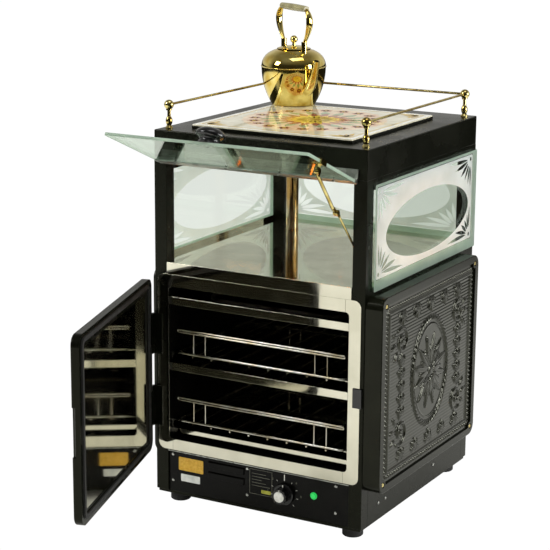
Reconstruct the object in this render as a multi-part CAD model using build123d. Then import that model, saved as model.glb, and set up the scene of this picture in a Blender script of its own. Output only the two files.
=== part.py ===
from build123d import *
from math import cos, pi, radians, sin
import os

# Baked potato oven: a fan-less two-level oven under a lit display case, with a brass gallery
# and a steam kettle on the roof. Millimetres. +Z is up, -Y is the front, +X is the right-hand
# side seen from the front, and the origin lies under the middle of the cabinet, on the
# surface that the feet stand on.

# ---- Overall cabinet ------------------------------------------------------------------
body_width = 450.0
body_depth = 486.0
roof_top = 740.0
roof_height = 56.0
foot_height = 20.0
foot_radius = 20.0
foot_inset_x = 34.0
foot_inset_y = 35.0
foot_bevel = 2.0
base_height = 6.0
base_inset = 3.0
case_sheet = 1.5
post_size = 27.0
post_wall = 2.0
rail_height = 20.0
roof_edge_radius = 2.0
seam = 0.3
slip = 0.2

half_width = body_width / 2
front = -body_depth / 2
rear = body_depth / 2
base_top = foot_height + base_height
roof_bottom = roof_top - roof_height
post_inner = half_width - post_size
post_back_of_front = front + post_size
post_front_of_rear = rear - post_size

# ---- Display case ------------------------------------------------------------------------
display_floor_top = 487.0
tray_sheet = 1.5
tray_upstand = 8.0
tray_lip_drop = 23.0
glass_thickness = 5.5
glass_corner = 3.0
glass_bottom_lap = 11.0
glass_top_gap = 9.0
glass_front_margin = 22.0
glass_rear_margin = 6.0
side_sheet_gap = 2.0

tray_underside = display_floor_top - tray_sheet
glass_bottom = display_floor_top - glass_bottom_lap
glass_top = roof_bottom - glass_top_gap
side_sheet_top = glass_bottom - side_sheet_gap

# ---- Oven ------------------------------------------------------------------------------
oven_deck_top = 110.0
oven_deck_sheet = 2.0
liner_sheet = 1.2
liner_lap = 4.0
rear_wall_depth = 66.0
insulation_gap = 0.3
surround_sheet = 1.5
surround_side_margin = 7.0
surround_deck_gap = 2.0
surround_sill = 22.0
surround_head = 24.0
surround_corner = 14.0
opening_corner = 8.0
divider_offset = 2.0
upper_baffle_drop = 20.0
floor_plate_rise = 16.0
floor_plate_setback = 20.0
shelf_lip = 15.0
floor_lip = 10.0
shelf_rear_gap = 30.0
element_radius = 3.25
element_half_span = 150.0
element_bend = 40.0
element_setback = 60.0
element_tail = 14.0
element_clearance = 0.3

surround_half_width = half_width - surround_side_margin
surround_bottom = oven_deck_top + surround_deck_gap
surround_top = display_floor_top - tray_lip_drop
opening_half_width = post_inner - liner_lap
opening_bottom = surround_bottom + surround_sill
opening_top = surround_top - surround_head
opening_middle = (opening_bottom + opening_top) / 2
liner_inner = post_inner - liner_sheet
liner_bottom = opening_bottom - liner_lap
liner_top = opening_top + liner_lap
liner_rear = rear - rear_wall_depth
divider_top = opening_middle + divider_offset
upper_baffle_top = opening_top - upper_baffle_drop
floor_plate_top = opening_bottom + floor_plate_rise

# ---- Wire racks --------------------------------------------------------------------------
rack_rise = {"upper_rack": 18.0, "lower_rack": 20.5}
rack_side_gap = 14.8
rack_setback = 8.0
rack_rear_gap = 24.0
rack_rim_radius = 2.4
rack_wire_radius = 1.6
rack_wire_count = 8
rack_wire_margin = 36.4
rack_wire_overhang = 1.0
rack_corner = 12.0
fence_height = 44.0
fence_rail_radius = 1.7
fence_rail_spacing = 4.6
fence_end_inset = 1.0
fence_post_radius = 1.2
fence_post_inset = 37.0
fence_post_spacing = 26.0
runner_ledge = 18.0
runner_height = 14.0
runner_sheet = 1.2
runner_setback = 16.0
rack_running_gap = 0.3

rack_levels = {
    "upper_rack": divider_top + rack_rise["upper_rack"],
    "lower_rack": floor_plate_top + rack_rise["lower_rack"],
}
rack_half_width = liner_inner - rack_side_gap
rack_near = front + rack_setback + rack_rim_radius
rack_far = liner_rear - rack_rear_gap - rack_rim_radius

# ---- Lamp under the roof -------------------------------------------------------------------
lamp_y = -30.0
lamp_radius = 9.0
lamp_length = 170.0
lamp_rise = 16.0
lamp_window_width = 60.0
lamp_window_length = 210.0
reflector_radius = 28.0
reflector_sheet = 1.0
holder_width = 14.0
holder_wall = 3.0
holder_foot_reach = 12.0
holder_corner = 4.0

# ---- Steam flue and kettle -----------------------------------------------------------------
flue_side_inset = 86.0
flue_rear_inset = 98.0
flue_radius = 12.7
flue_wall = 1.2
flue_flange_reach = 6.0
flue_flange_sheet = 1.0
flue_hole_gap = 0.5
collar_radius = 44.0
spigot_radius = 26.0
spigot_height = 5.0
kettle_foot_radius = 43.5
kettle_belly_radius = 65.5
kettle_belly_height = 78.0
kettle_shoulder_radius = 51.8
kettle_shoulder_height = 104.0
kettle_mouth_radius = 33.0
kettle_mouth_height = 112.0
kettle_mouth_lip = 3.0
kettle_wall = 1.6
kettle_seam_radius = 1.2
spout_azimuth = -31.8
spout_root_reach = 55.0
spout_root_height = 34.0
spout_root_radius = 12.0
spout_mouth_reach = 92.0
spout_mouth_height = 97.0
spout_mouth_radius = 6.5
handle_lug_reach = 41.5
handle_lug_radius = 5.5
handle_lug_top = 130.0
handle_bulge_reach = 62.0
handle_bulge_height = 166.0
handle_top_reach = 48.0
handle_top_height = 196.0
handle_leaf_width = 15.0
handle_leaf_thickness = 5.0
handle_leaf_taper = 0.45
handle_leaf_root = 3.0
handle_leaf_lean = 6.0
handle_leaf_rise = 18.0
grip_radius = 7.0
grip_waist_radius = 6.0
grip_half_length = 50.0
lid_rim_radius = 34.0
lid_edge = 1.6
lid_height = 7.0
lid_neck_radius = 3.6
lid_finial_radius = 7.6
lid_finial_rise = 19.5

flue_x = flue_side_inset - half_width
flue_y = rear - flue_rear_inset

# ---- Roof furniture ------------------------------------------------------------------------
top_board_side_margin = 55.0
top_board_front_margin = 46.0
top_board_rear_margin = 90.0
top_board_height = 5.5
picture_tile_thickness = 2.5
picture_tile_inset = 1.0
gallery_side_margin = 17.3
gallery_front_margin = 26.0
gallery_rear_margin = 24.0
gallery_ball_height = 45.0
gallery_ball_radius = 9.3
gallery_rail_radius = 2.4
baluster_foot = (7.0, 2.0)
baluster_ankle = (4.2, 6.0)
baluster_belly = (6.4, 14.0)
baluster_neck = (3.2, 23.0)
baluster_collar = (5.6, 3.0)

tile_top = roof_top + top_board_height + picture_tile_thickness
top_board_half_width = half_width - top_board_side_margin
gallery_half_width = half_width - gallery_side_margin

# ---- Relief panels on the lower sides --------------------------------------------------------
relief_deck_drop = 12.0
relief_top_gap = 2.0
relief_front_margin = 2.0
relief_rear_margin = 48.0
relief_corner = 22.0
relief_proud = {"right": 35.0, "left": 6.0}
relief_step = {"right": 4.0, "left": 2.0}
relief_skin = 2.0
relief_border = 15.0
relief_edge_radius = 1.8
relief_screw_inset = 17.0
relief_screw_radius = 4.0
relief_screw_clearance = 1.5
relief_screw_sink = 0.4
relief_boss_wall = 4.0

relief_bottom = oven_deck_top - relief_deck_drop
relief_top = side_sheet_top - relief_top_gap
relief_length = body_depth - relief_front_margin - relief_rear_margin
relief_height = relief_top - relief_bottom
relief_centre_y = front + relief_front_margin + relief_length / 2
relief_centre_z = (relief_bottom + relief_top) / 2

# ---- Oven door ----------------------------------------------------------------------------------
door_left_lap = 5.0
door_right_inset = 5.0
door_bottom_inset = 1.0
door_top_inset = 7.0
door_thickness = 16.0
door_stand_off = 5.0
door_corner = 20.0
door_edge_radius = 3.0
door_skin = 2.0
door_rim = 25.0
door_panel_recess = 1.0
door_panel_thickness = 3.0
door_open_angle = 73.0
door_hinge_side_gap = 7.5
door_hinge_stand_off = 10.5
door_barrel_radius = 5.5
door_pin_radius = 3.0
door_pin_short = 2.0
door_leaf_margin = 3.0
door_web_thickness = 4.0
hinge_bottom_inset = 45.0
hinge_top_inset = 74.0
hinge_length = 80.0
hinge_leaf_sheet = 2.2
hinge_leaf_reach = 22.0
running_clearance = 0.05
knuckle_gap = 0.3
seal_width = 8.0
seal_gap = 0.3
seal_outset = 6.0
catch_length = 37.0
catch_drop = 4.5
catch_height = 3.0
catch_post_reach = 5.0
catch_seal_gap = 0.5
catch_bevel = 0.6
striker_sheet = 0.3
striker_margin = 1.5
finger_scoop_radius = 9.0
finger_scoop_length = 90.0
finger_scoop_offset = 2.0

door_left = -surround_half_width - door_left_lap
door_right = surround_half_width - door_right_inset
door_width = door_right - door_left
door_bottom = surround_bottom + door_bottom_inset
door_top = surround_top - door_top_inset
door_height = door_top - door_bottom
door_middle = (door_bottom + door_top) / 2
door_inner_y = front - door_stand_off
door_hinge_x = door_left - door_hinge_side_gap
door_hinge_y = front - door_hinge_stand_off
hinge_bottoms = (door_bottom + hinge_bottom_inset, door_top - hinge_top_inset - hinge_length)
seal_edge = opening_half_width + seal_outset + seal_width / 2
catch_bottom = door_middle - catch_drop - catch_length / 2
catch_top = catch_bottom + catch_length

# ---- Glass flap over the display ------------------------------------------------------------
flap_post_lap = 9.0
flap_length = 198.0
flap_glass_start = 7.0
flap_glass_thickness = 5.0
flap_glass_corner = 4.0
flap_hinge_stand_off = 6.0
flap_hinge_drop = 2.0
flap_barrel_radius = 4.0
flap_pin_radius = 1.8
flap_angle = 22.8
flap_leaf_reach = 22.0
flap_leaf_sheet = 1.5
flap_fixed_leaf = (4.0, 22.0)
flap_fixed_leaf_sheet = 2.4
flap_knuckle_count = 7
flap_bolt_count = 4
flap_bolt_margin = 39.75
flap_bolt_reach = 13.0
flap_bolt_radius = 3.5
flap_shank_radius = 1.75
flap_bolt_head = 2.2
flap_knob_reach = 180.0
flap_knob_radius = 24.0
flap_knob_height = 28.0
flap_knob_foot_radius = 11.0
flap_knob_waist_radius = 9.0
flap_knob_brim_drop = 9.0
flap_knob_neck_rise = 13.0
flap_knob_stud_radius = 3.0
flap_knob_washer = (7.0, 2.0)

flap_half_width = post_inner + flap_post_lap
flap_hinge_y = front - flap_hinge_stand_off
flap_hinge_z = roof_bottom - flap_hinge_drop
flap_half_glass = flap_glass_thickness / 2

# ---- Folding stay of the flap ------------------------------------------------------------------
stay_flap_reach = 126.0
stay_flap_drop = 13.5
stay_knuckle_forward = 55.0
stay_knuckle_drop = 48.4
stay_anchor_rise = 63.0
stay_anchor_inset = 5.0
stay_tube_radius = 3.2
stay_tongue_width = 3.0
stay_rod_radius = 2.0
stay_rod_eye_width = 3.8
stay_side_gap = 0.5
stay_eye_radius = 5.5
stay_pin_radius = 2.5
stay_head_radius = 4.0
stay_head_height = 2.0
stay_plate_sheet = 1.4
stay_plate_width = 15.0
stay_plate_height = 28.0
stay_tube_tongue_length = 9.0
stay_rod_tongue_length = 8.0
stay_tongue_lap = 3.0
clamp_reach = (6.0, 28.0)
clamp_overhang = 3.0
clamp_lap = 14.0
clamp_top_sheet = 2.0
clamp_under_sheet = 2.5
clamp_screw_inset = 6.0
clamp_screw_margin = 5.0

stay_plate_x = post_inner - stay_plate_sheet
stay_rod_eye = (stay_plate_x - seam - stay_rod_eye_width, stay_plate_x - seam)
stay_rod_x = (stay_rod_eye[0] + stay_rod_eye[1]) / 2
stay_tube_tongue = (stay_rod_eye[0] - stay_side_gap - stay_tongue_width, stay_rod_eye[0] - stay_side_gap)
stay_tube_x = stay_tube_tongue[1] - stay_tube_radius

# ---- Controls -----------------------------------------------------------------------------------
control_panel_setback = 4.0
knob_x = 60.2
knob_rise = 39.6
knob_skirt_radius = 21.0
knob_skirt_height = 4.0
knob_grip_radius = 15.0
knob_cap_radius = 10.5
knob_cap_height = 1.5
knob_height = 20.0
knob_panel_gap = 3.0
knob_flute_count = 12
knob_flute_radius = 2.4
thermostat_half = 19.0
thermostat_depth = 34.0
thermostat_corner = 3.0
thermostat_shaft_radius = 3.0
thermostat_shaft_depth = 18.0
thermostat_bush_radius = 5.0
thermostat_bush_reach = 2.0
thermostat_nut_radius = 7.5
thermostat_nut_height = 1.6
neon_x = 123.6
neon_rise = 47.5
neon_radius = 7.0
neon_lens_radius = 5.5
neon_lens_height = 4.0
neon_stem_radius = 5.7
neon_stem_depth = 22.0
louvre_centre_x = -68.0
louvre_rises = (47.0, 68.0)
louvre_width = 80.0
louvre_height = 13.0
louvre_proud = 3.6
louvre_wall = 0.8
louvre_side_wall = 2.5
louvre_slot = 2.2
panel_screw_insets = (9.0, 28.0)
panel_screw_middle_x = -21.0
panel_screw_margins = (22.0, 9.0)
side_screw_positions = (72.0, 102.0, 320.0)
side_screw_rise = 31.0
catch_screw_inset = 6.0
screw_head_radius = 3.0
screw_head_height = 1.6

control_face_y = front + control_panel_setback
knob_z = base_top + knob_rise
knob_base_y = control_face_y - knob_panel_gap
neon_z = base_top + neon_rise
louvre_levels = [base_top + rise for rise in louvre_rises]

# ---- Supply -------------------------------------------------------------------------------------
gland_side_inset = 75.0
gland_rise = 40.0
gland_bore_radius = 4.5
gland_barrel_radius = 8.0
gland_nut_radius = 11.0
gland_nut_height = 5.0
gland_dome_radius = 9.0
gland_reach = 15.0
gland_inside = 8.0
gland_lock_height = 4.0
rear_slot_count = 8
rear_slot_pitch = 14.0
rear_slot_height = 26.0
rear_slot_width = 5.0
terminal_way_count = 3
terminal_pitch = 11.0
terminal_depth = 18.0
terminal_height = 14.0
terminal_tower = 5.0
terminal_wall = 2.0
terminal_bore_radius = 2.2
terminal_setback = 70.0

gland_x = half_width - gland_side_inset
gland_z = base_top + gland_rise


def block(x_span, y_span, z_span):
    """A box between two limits on each axis."""
    (x0, x1), (y0, y1), (z0, z1) = x_span, y_span, z_span
    centre = Pos((x0 + x1) / 2, (y0 + y1) / 2, (z0 + z1) / 2)
    return centre * Box(x1 - x0, y1 - y0, z1 - z0)


def bar(radius, start, end):
    """A round bar between two points."""
    axis = Vector(*end) - Vector(*start)
    return extrude(Plane(origin=start, z_dir=axis) * Circle(radius), amount=axis.length)


def disc(radius, centre, axis, height):
    """A round disc that rises from a centre along an axis."""
    return extrude(Plane(origin=centre, z_dir=axis) * Circle(radius), amount=height)


def both_sides(solid):
    """The solid and its mirror image in the cabinet's middle plane."""
    return [solid, mirror(solid, about=Plane.YZ)]


def square_tube(x_span, y_span, z_span, along):
    """A square tube with open ends, along one axis."""
    inside = []
    for name, (low, high) in zip("xyz", (x_span, y_span, z_span)):
        inside.append((low, high) if name == along else (low + post_wall, high - post_wall))
    return block(x_span, y_span, z_span) - block(*inside)


def save(node, *solids):
    """Writes one node's solids to its STEP file."""
    shape = solids[0] if len(solids) == 1 else Compound(children=list(solids))
    export_step(shape, f"parts/{node}.step")


def turned(profile, place):
    """A solid of revolution about the Z axis of a place, from a profile of radius and height."""
    return place * revolve(Plane.XZ * make_face(profile), Axis.Z)


def screw(radius, height, seat, direction):
    """A round screw head that stands on its seat, with a bevelled rim."""
    bevel = height / 2
    rim = ((radius, 0), (radius, height - bevel), (radius - bevel, height))
    outline = Polyline((0, 0), *rim, (0, height), (0, 0))
    return turned(outline, Plane(origin=seat, z_dir=direction).location)


def flue_hole(gap, z_span):
    """The round passage for the steam pipe through whatever lies between two heights."""
    return bar(flue_radius + gap, (flue_x, flue_y, z_span[0]), (flue_x, flue_y, z_span[1]))


def post_boxes(grow=0.0):
    """The four corner posts' outer boxes, grown sideways by a clearance."""
    boxes = []
    for x_side in (-1, 1):
        for y_side in (-1, 1):
            x_span = sorted((x_side * (post_inner - grow), x_side * (half_width + grow)))
            y_span = sorted((y_side * (rear - post_size - grow), y_side * (rear + grow)))
            boxes.append(block(x_span, y_span, (base_top, roof_bottom)))
    return boxes


# ======================================================================================
# Cabinet frame
# ======================================================================================

def base_tray():
    x, y = half_width - base_inset, rear - base_inset
    wall = post_wall
    tray = block((-x, x), (-y, y), (foot_height, base_top))
    hollow = block((-x + wall, x - wall), (-y + wall, y - wall), (foot_height, base_top - wall))
    return tray - hollow


def feet():
    """Four round rubber feet, each seated against the tray and chamfered at the ground."""
    top = base_top - post_wall
    foot = Cylinder(foot_radius, top, align=(Align.CENTER, Align.CENTER, Align.MIN))
    foot = chamfer(foot.edges().group_by(Axis.Z)[0], foot_bevel)
    x, y = half_width - foot_inset_x, rear - foot_inset_y
    return [Pos(x_side * x, y_side * y, 0) * foot for x_side in (-1, 1) for y_side in (-1, 1)]


def corner_posts():
    """Four square-tube posts that run from the base tray to the roof."""
    posts = []
    for outer in post_boxes():
        box = outer.bounding_box()
        centre = box.center()
        core = Pos(centre.X, centre.Y, centre.Z) * Box(
            post_size - 2 * post_wall, post_size - 2 * post_wall, box.size.Z
        )
        posts.append(outer - core)
    return posts


def frame_rails():
    """Square tubes between the posts: two across the front, and rails round the display."""
    side_y = (post_back_of_front, post_front_of_rear)
    front_y = (front, post_back_of_front)
    inner_x = (-post_inner, post_inner)
    upper_z = (roof_bottom - rail_height, roof_bottom)
    lower_z = (tray_underside - rail_height, tray_underside)
    rear_y = (post_front_of_rear, rear)
    lower_side_x = (post_inner, half_width - case_sheet)
    rails = [
        square_tube(inner_x, front_y, (oven_deck_top, liner_bottom), "x"),
        square_tube(inner_x, front_y, (liner_top, tray_underside), "x"),
        square_tube(inner_x, rear_y, upper_z, "x"),
        square_tube(inner_x, (post_front_of_rear, rear - case_sheet), lower_z, "x"),
    ]
    rails += both_sides(square_tube((post_inner, half_width), side_y, upper_z, "y"))
    rails += both_sides(square_tube(lower_side_x, side_y, lower_z, "y"))
    return rails


def side_sheets():
    """Flat steel sheets between the posts on the lower left and right."""
    sheet = block(
        (half_width - case_sheet, half_width),
        (post_back_of_front, post_front_of_rear),
        (base_top, side_sheet_top),
    )
    return both_sides(sheet)


def rear_panel():
    """The lower rear sheet, with a row of air slots and the hole of the cable gland."""
    panel = block((-post_inner, post_inner), (rear - case_sheet, rear), (base_top, side_sheet_top))
    first = -rear_slot_pitch * (rear_slot_count - 1) / 2
    slot = SlotOverall(rear_slot_height, rear_slot_width, rotation=90)
    for index in range(rear_slot_count):
        place = (first + index * rear_slot_pitch, rear - 2 * case_sheet, gland_z)
        panel -= extrude(Plane(origin=place, z_dir=(0, 1, 0)) * slot, amount=3 * case_sheet)
    hole_radius = gland_barrel_radius + seam
    y0, y1 = rear - 2 * case_sheet, rear + case_sheet
    return panel - bar(hole_radius, (gland_x, y0, gland_z), (gland_x, y1, gland_z))


def roof_box():
    """The folded roof cap: a top sheet with sides down to the display opening."""
    outer = block((-half_width, half_width), (front, rear), (roof_bottom, roof_top))
    folded = outer.edges().filter_by(Axis.Z) + outer.faces().sort_by(Axis.Z)[-1].edges()
    outer = fillet(folded, roof_edge_radius)
    hollow = block(
        (-half_width + case_sheet, half_width - case_sheet),
        (front + case_sheet, rear - case_sheet),
        (roof_bottom, roof_top - case_sheet),
    )
    return outer - hollow - flue_hole(flue_hole_gap, (roof_bottom, roof_top + case_sheet))


def ceiling_panel():
    """The polished ceiling of the display, cut out under the lamp and round the flue."""
    x = half_width - case_sheet - seam
    y = rear - case_sheet - seam
    z_through = (roof_bottom - case_sheet, roof_bottom + 2 * case_sheet)
    sheet = block((-x, x), (-y, y), (roof_bottom, roof_bottom + case_sheet))
    window = block(
        (-lamp_window_length / 2, lamp_window_length / 2),
        (lamp_y - lamp_window_width / 2, lamp_y + lamp_window_width / 2),
        z_through,
    )
    return sheet - window - flue_hole(flue_hole_gap, z_through)


# ======================================================================================
# Display case
# ======================================================================================

def display_tray():
    """The polished display floor, folded down over the front rail and up at the sides."""
    x = half_width - seam
    y_rear = rear - case_sheet - seam
    floor = block((-x, x), (front, y_rear), (tray_underside, display_floor_top))
    for box in post_boxes(seam):
        floor -= box
    lip_x = post_inner - seam
    lip = block((-lip_x, lip_x), (front - tray_sheet, front), (surround_top, display_floor_top))
    side_y = (post_back_of_front + seam, post_front_of_rear - seam)
    upstand_z = (display_floor_top, display_floor_top + tray_upstand)
    tray = floor + lip
    for upstand in both_sides(block((x - tray_sheet, x), side_y, upstand_z)):
        tray += upstand
    return tray - flue_hole(flue_hole_gap, (tray_underside - tray_sheet, display_floor_top + tray_sheet))


def side_glass():
    """One flat pane of glass on the outside of the right-hand posts."""
    y0, y1 = front + glass_front_margin, rear - glass_rear_margin
    middle = (half_width, (y0 + y1) / 2, (glass_bottom + glass_top) / 2)
    face = Plane(origin=middle, x_dir=(0, 1, 0), z_dir=(1, 0, 0))
    outline = RectangleRounded(y1 - y0, glass_top - glass_bottom, glass_corner)
    return extrude(face * outline, amount=glass_thickness)


def rear_glass():
    """The flat pane on the back of the rear posts."""
    width = body_width - 2 * glass_rear_margin
    face = Plane(origin=(0, rear, (glass_bottom + glass_top) / 2), x_dir=(-1, 0, 0), z_dir=(0, 1, 0))
    outline = RectangleRounded(width, glass_top - glass_bottom, glass_corner)
    return extrude(face * outline, amount=glass_thickness)


def lamp_reflector():
    """A half-round trough over the lamp, standing on the ceiling panel."""
    z = roof_bottom + case_sheet
    half_length = lamp_window_length / 2
    start, end = (-half_length, lamp_y, z), (half_length, lamp_y, z)
    outer_radius = reflector_radius + reflector_sheet
    outer = bar(outer_radius, start, end)
    inner = bar(reflector_radius, start, end)
    y_span = (lamp_y - outer_radius, lamp_y + outer_radius)
    return outer - inner - block((-half_length, half_length), y_span, (z - outer_radius, z))


def lamp_holders():
    """Two ceramic end holders that stand on the ceiling panel and grip the lamp's ends."""
    z = roof_bottom + case_sheet
    x0 = lamp_length / 2
    depth = lamp_radius + holder_wall
    y_span = (lamp_y - depth, lamp_y + depth)
    holder = block((x0, x0 + holder_width), y_span, (z, roof_bottom + lamp_rise + depth))
    holder = fillet(holder.edges().filter_by(Axis.X).group_by(Axis.Z)[-1], holder_corner)
    foot = block((x0, lamp_window_length / 2 + holder_foot_reach), y_span, (z, z + holder_wall))
    return both_sides(holder + foot)


def lamp_bulb():
    """A tubular lamp with rounded ends, held at both ends."""
    reach = lamp_length / 2 - seam
    z = roof_bottom + lamp_rise
    tube = bar(lamp_radius, (-reach, lamp_y, z), (reach, lamp_y, z))
    return fillet(tube.edges(), lamp_radius / 2)


# ======================================================================================
# Oven body
# ======================================================================================

def element_path(z):
    """The U-shaped route of a sheathed heating element, both ends leaving at the rear."""
    near = front + element_setback
    tail = liner_rear + element_tail
    reach = element_half_span
    points = [(-reach, tail, z), (-reach, near, z), (reach, near, z), (reach, tail, z)]
    return FilletPolyline(points, radius=element_bend)


def element_levels():
    """The heights of the lower and the upper element."""
    upper = (upper_baffle_top + liner_top) / 2
    lower = (liner_bottom + floor_plate_top - liner_sheet) / 2
    return (lower, upper)


def heating_elements():
    elements = []
    for z in element_levels():
        path = element_path(z)
        elements.append(sweep(Plane(origin=path @ 0, z_dir=path % 0) * Circle(element_radius), path))
    return elements


def element_holes():
    """Holes round the element tails, through the rear of the liner and its insulation."""
    holes = []
    radius = element_radius + element_clearance
    for z in element_levels():
        for x in (-element_half_span, element_half_span):
            holes.append(bar(radius, (x, liner_rear - 2 * liner_sheet, z), (x, rear, z)))
    return holes


def oven_liner():
    """The black oven box, open at the front."""
    outer = block((-post_inner, post_inner), (front, liner_rear), (liner_bottom, liner_top))
    hollow = block(
        (-liner_inner, liner_inner),
        (front, liner_rear - liner_sheet),
        (liner_bottom + liner_sheet, liner_top - liner_sheet),
    )
    liner = outer - hollow
    for hole in element_holes():
        liner -= hole
    return liner - flue_hole(element_clearance, (liner_top - 2 * liner_sheet, liner_top + liner_sheet))


def insulation():
    """The mineral wool jacket between the oven liner, the casing and the display floor."""
    gap = insulation_gap
    side = half_width - case_sheet - gap
    lower_rail_bottom = tray_underside - rail_height - gap
    y_span = (post_back_of_front + gap, post_front_of_rear - gap)
    jacket = block((-side, side), y_span, (oven_deck_top + gap, lower_rail_bottom))
    inner = post_inner - gap
    jacket += block((-inner, inner), y_span, (lower_rail_bottom - gap, tray_underside - gap))
    jacket -= block(
        (-post_inner - gap, post_inner + gap),
        (front, liner_rear + gap),
        (liner_bottom - gap, liner_top + gap),
    )
    for hole in element_holes():
        jacket -= hole
    return jacket - flue_hole(gap, (liner_top - gap, display_floor_top))


def oven_deck():
    """The sheet that closes the control space and carries the oven's insulation."""
    side = half_width - case_sheet - seam
    z_span = (oven_deck_top - oven_deck_sheet, oven_deck_top)
    deck = block((-side, side), (front + seam, rear - case_sheet - seam), z_span)
    for box in post_boxes(seam):
        deck -= box
    return deck


def door_surround():
    """The bright frame round the oven mouth: two side strips with the corners, a top and a sill."""
    width, height = 2 * surround_half_width, surround_top - surround_bottom
    mouth_width, mouth_height = 2 * opening_half_width, opening_top - opening_bottom
    face = Plane(origin=(0, front, 0), x_dir=(1, 0, 0), z_dir=(0, -1, 0))
    outer_middle = (surround_top + surround_bottom) / 2
    frame = face * Pos(0, outer_middle) * RectangleRounded(width, height, surround_corner)
    frame -= face * Pos(0, opening_middle) * RectangleRounded(mouth_width, mouth_height, opening_corner)
    frame = extrude(frame, amount=surround_sheet)
    split = opening_half_width - opening_corner
    y_span = (front - 2 * surround_sheet, front + surround_sheet)
    side = frame & block((split + seam / 2, half_width), y_span, (0, roof_top))
    middle = (-split + seam / 2, split - seam / 2)
    head = frame & block(middle, y_span, (opening_middle, roof_top))
    sill = frame & block(middle, y_span, (0, opening_middle))
    return both_sides(side) + [head, sill]


def shelf(top, lip_height, lip_y, lip_half_width):
    """A bright sheet across the oven with a folded front lip."""
    plate = block(
        (-liner_inner, liner_inner),
        (max(lip_y, front), liner_rear - liner_sheet - shelf_rear_gap),
        (top - liner_sheet, top),
    )
    lip = block((-lip_half_width, lip_half_width), (lip_y - liner_sheet, lip_y), (top - lip_height, top))
    return plate + lip


def rack_runners():
    """Four angle runners on the liner's side walls, two for each rack."""
    runners = []
    y_span = (front + runner_setback, rack_far + rack_rim_radius)
    for level in rack_levels.values():
        ledge_top = level - rack_rim_radius - rack_running_gap
        ledge_z = (ledge_top - runner_sheet, ledge_top)
        ledge = block((liner_inner - runner_ledge, liner_inner), y_span, ledge_z)
        leg_z = (ledge_top - runner_height, ledge_top)
        leg = block((liner_inner - runner_sheet, liner_inner), y_span, leg_z)
        runners += both_sides(ledge + leg)
    return runners


def along_wire(outline, radius):
    """A round wire bent along a closed outline."""
    path = outline.wire()
    return sweep(Plane(origin=path @ 0, z_dir=path % 0) * Circle(radius), path)


def wire_rack(level):
    """A welded wire rack: a rim, cross wires under it, and a railed fence front and rear."""
    middle = Plane(origin=(0, (rack_near + rack_far) / 2, level))
    rim = middle * RectangleRounded(2 * rack_half_width, rack_far - rack_near, rack_corner)
    wires = [along_wire(rim, rack_rim_radius)]
    wire_z = level - rack_rim_radius - rack_wire_radius
    wire_reach = rack_half_width - rack_wire_margin
    overhang = rack_rim_radius + rack_wire_overhang
    y0, y1 = rack_near - overhang, rack_far + overhang
    for index in range(rack_wire_count):
        x = wire_reach * (2 * index / (rack_wire_count - 1) - 1)
        wires.append(bar(rack_wire_radius, (x, y0, wire_z), (x, y1, wire_z)))
    for fence_y in (rack_near, rack_far):
        wires += rack_fence(level, fence_y)
    return wires


def rack_fence(level, fence_y):
    """A fence across the rack: two rails joined by bent ends, on two pairs of upright wires."""
    rail_plane = Plane(origin=(0, fence_y, level + fence_height), x_dir=(1, 0, 0), z_dir=(0, -1, 0))
    length = 2 * (rack_half_width - fence_end_inset)
    wires = [along_wire(rail_plane * SlotOverall(length, fence_rail_spacing), fence_rail_radius)]
    foot = level + rack_rim_radius
    head = level + fence_height - fence_rail_spacing / 2 - fence_rail_radius
    outer = rack_half_width - fence_post_inset
    for x in (-outer, fence_post_spacing - outer, outer - fence_post_spacing, outer):
        wires.append(bar(fence_post_radius, (x, fence_y, foot), (x, fence_y, head)))
    return wires


# ======================================================================================
# Flue, kettle and roof furniture
# ======================================================================================

def flue_pipe():
    """The steam pipe from the oven, up through the display, to the collar on the roof."""
    top = roof_top + spigot_height
    bottom = liner_top - liner_sheet
    pipe = bar(flue_radius, (flue_x, flue_y, bottom), (flue_x, flue_y, top))
    flange = disc(flue_radius + flue_flange_reach, (flue_x, flue_y, bottom), (0, 0, -1), flue_flange_sheet)
    return pipe + flange - flue_hole(-flue_wall, (bottom - 2 * flue_flange_sheet, top + flue_wall))


def flue_collar():
    """The round seat on the roof that the kettle stands on, with a spigot that centres it."""
    height = tile_top - roof_top
    seat = disc(collar_radius, (flue_x, flue_y, roof_top), (0, 0, 1), height)
    spigot = disc(spigot_radius, (flue_x, flue_y, roof_top), (0, 0, 1), height + spigot_height)
    spigot = chamfer(spigot.edges().group_by(Axis.Z)[-1], spigot_height / 5)
    return seat + spigot - flue_hole(seam, (roof_top - seam, tile_top + 2 * spigot_height))


def kettle_form(inset, bottom, top):
    """The kettle's spun form as a solid, shrunk by an inset, between two heights."""
    foot = (kettle_foot_radius - inset, bottom)
    belly = (kettle_belly_radius - inset, kettle_belly_height)
    shoulder = (kettle_shoulder_radius - inset, kettle_shoulder_height - inset)
    mouth = (kettle_mouth_radius - inset, top)
    flank = TangentArc(belly, foot, tangent=(0, -1))
    crown = TangentArc(belly, shoulder, tangent=(0, 1))
    neck = TangentArc(shoulder, mouth, tangent=crown % 1)
    outline = flank + crown + neck + Polyline(mouth, (0, top), (0, bottom), foot)
    return turned(outline, Pos(flue_x, flue_y, tile_top))


def along_spout(reach, height):
    """A point in the kettle's spout plane, at a reach from its axis and a height over its seat."""
    angle = radians(spout_azimuth)
    return (flue_x + reach * cos(angle), flue_y + reach * sin(angle), tile_top + height)


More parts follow.
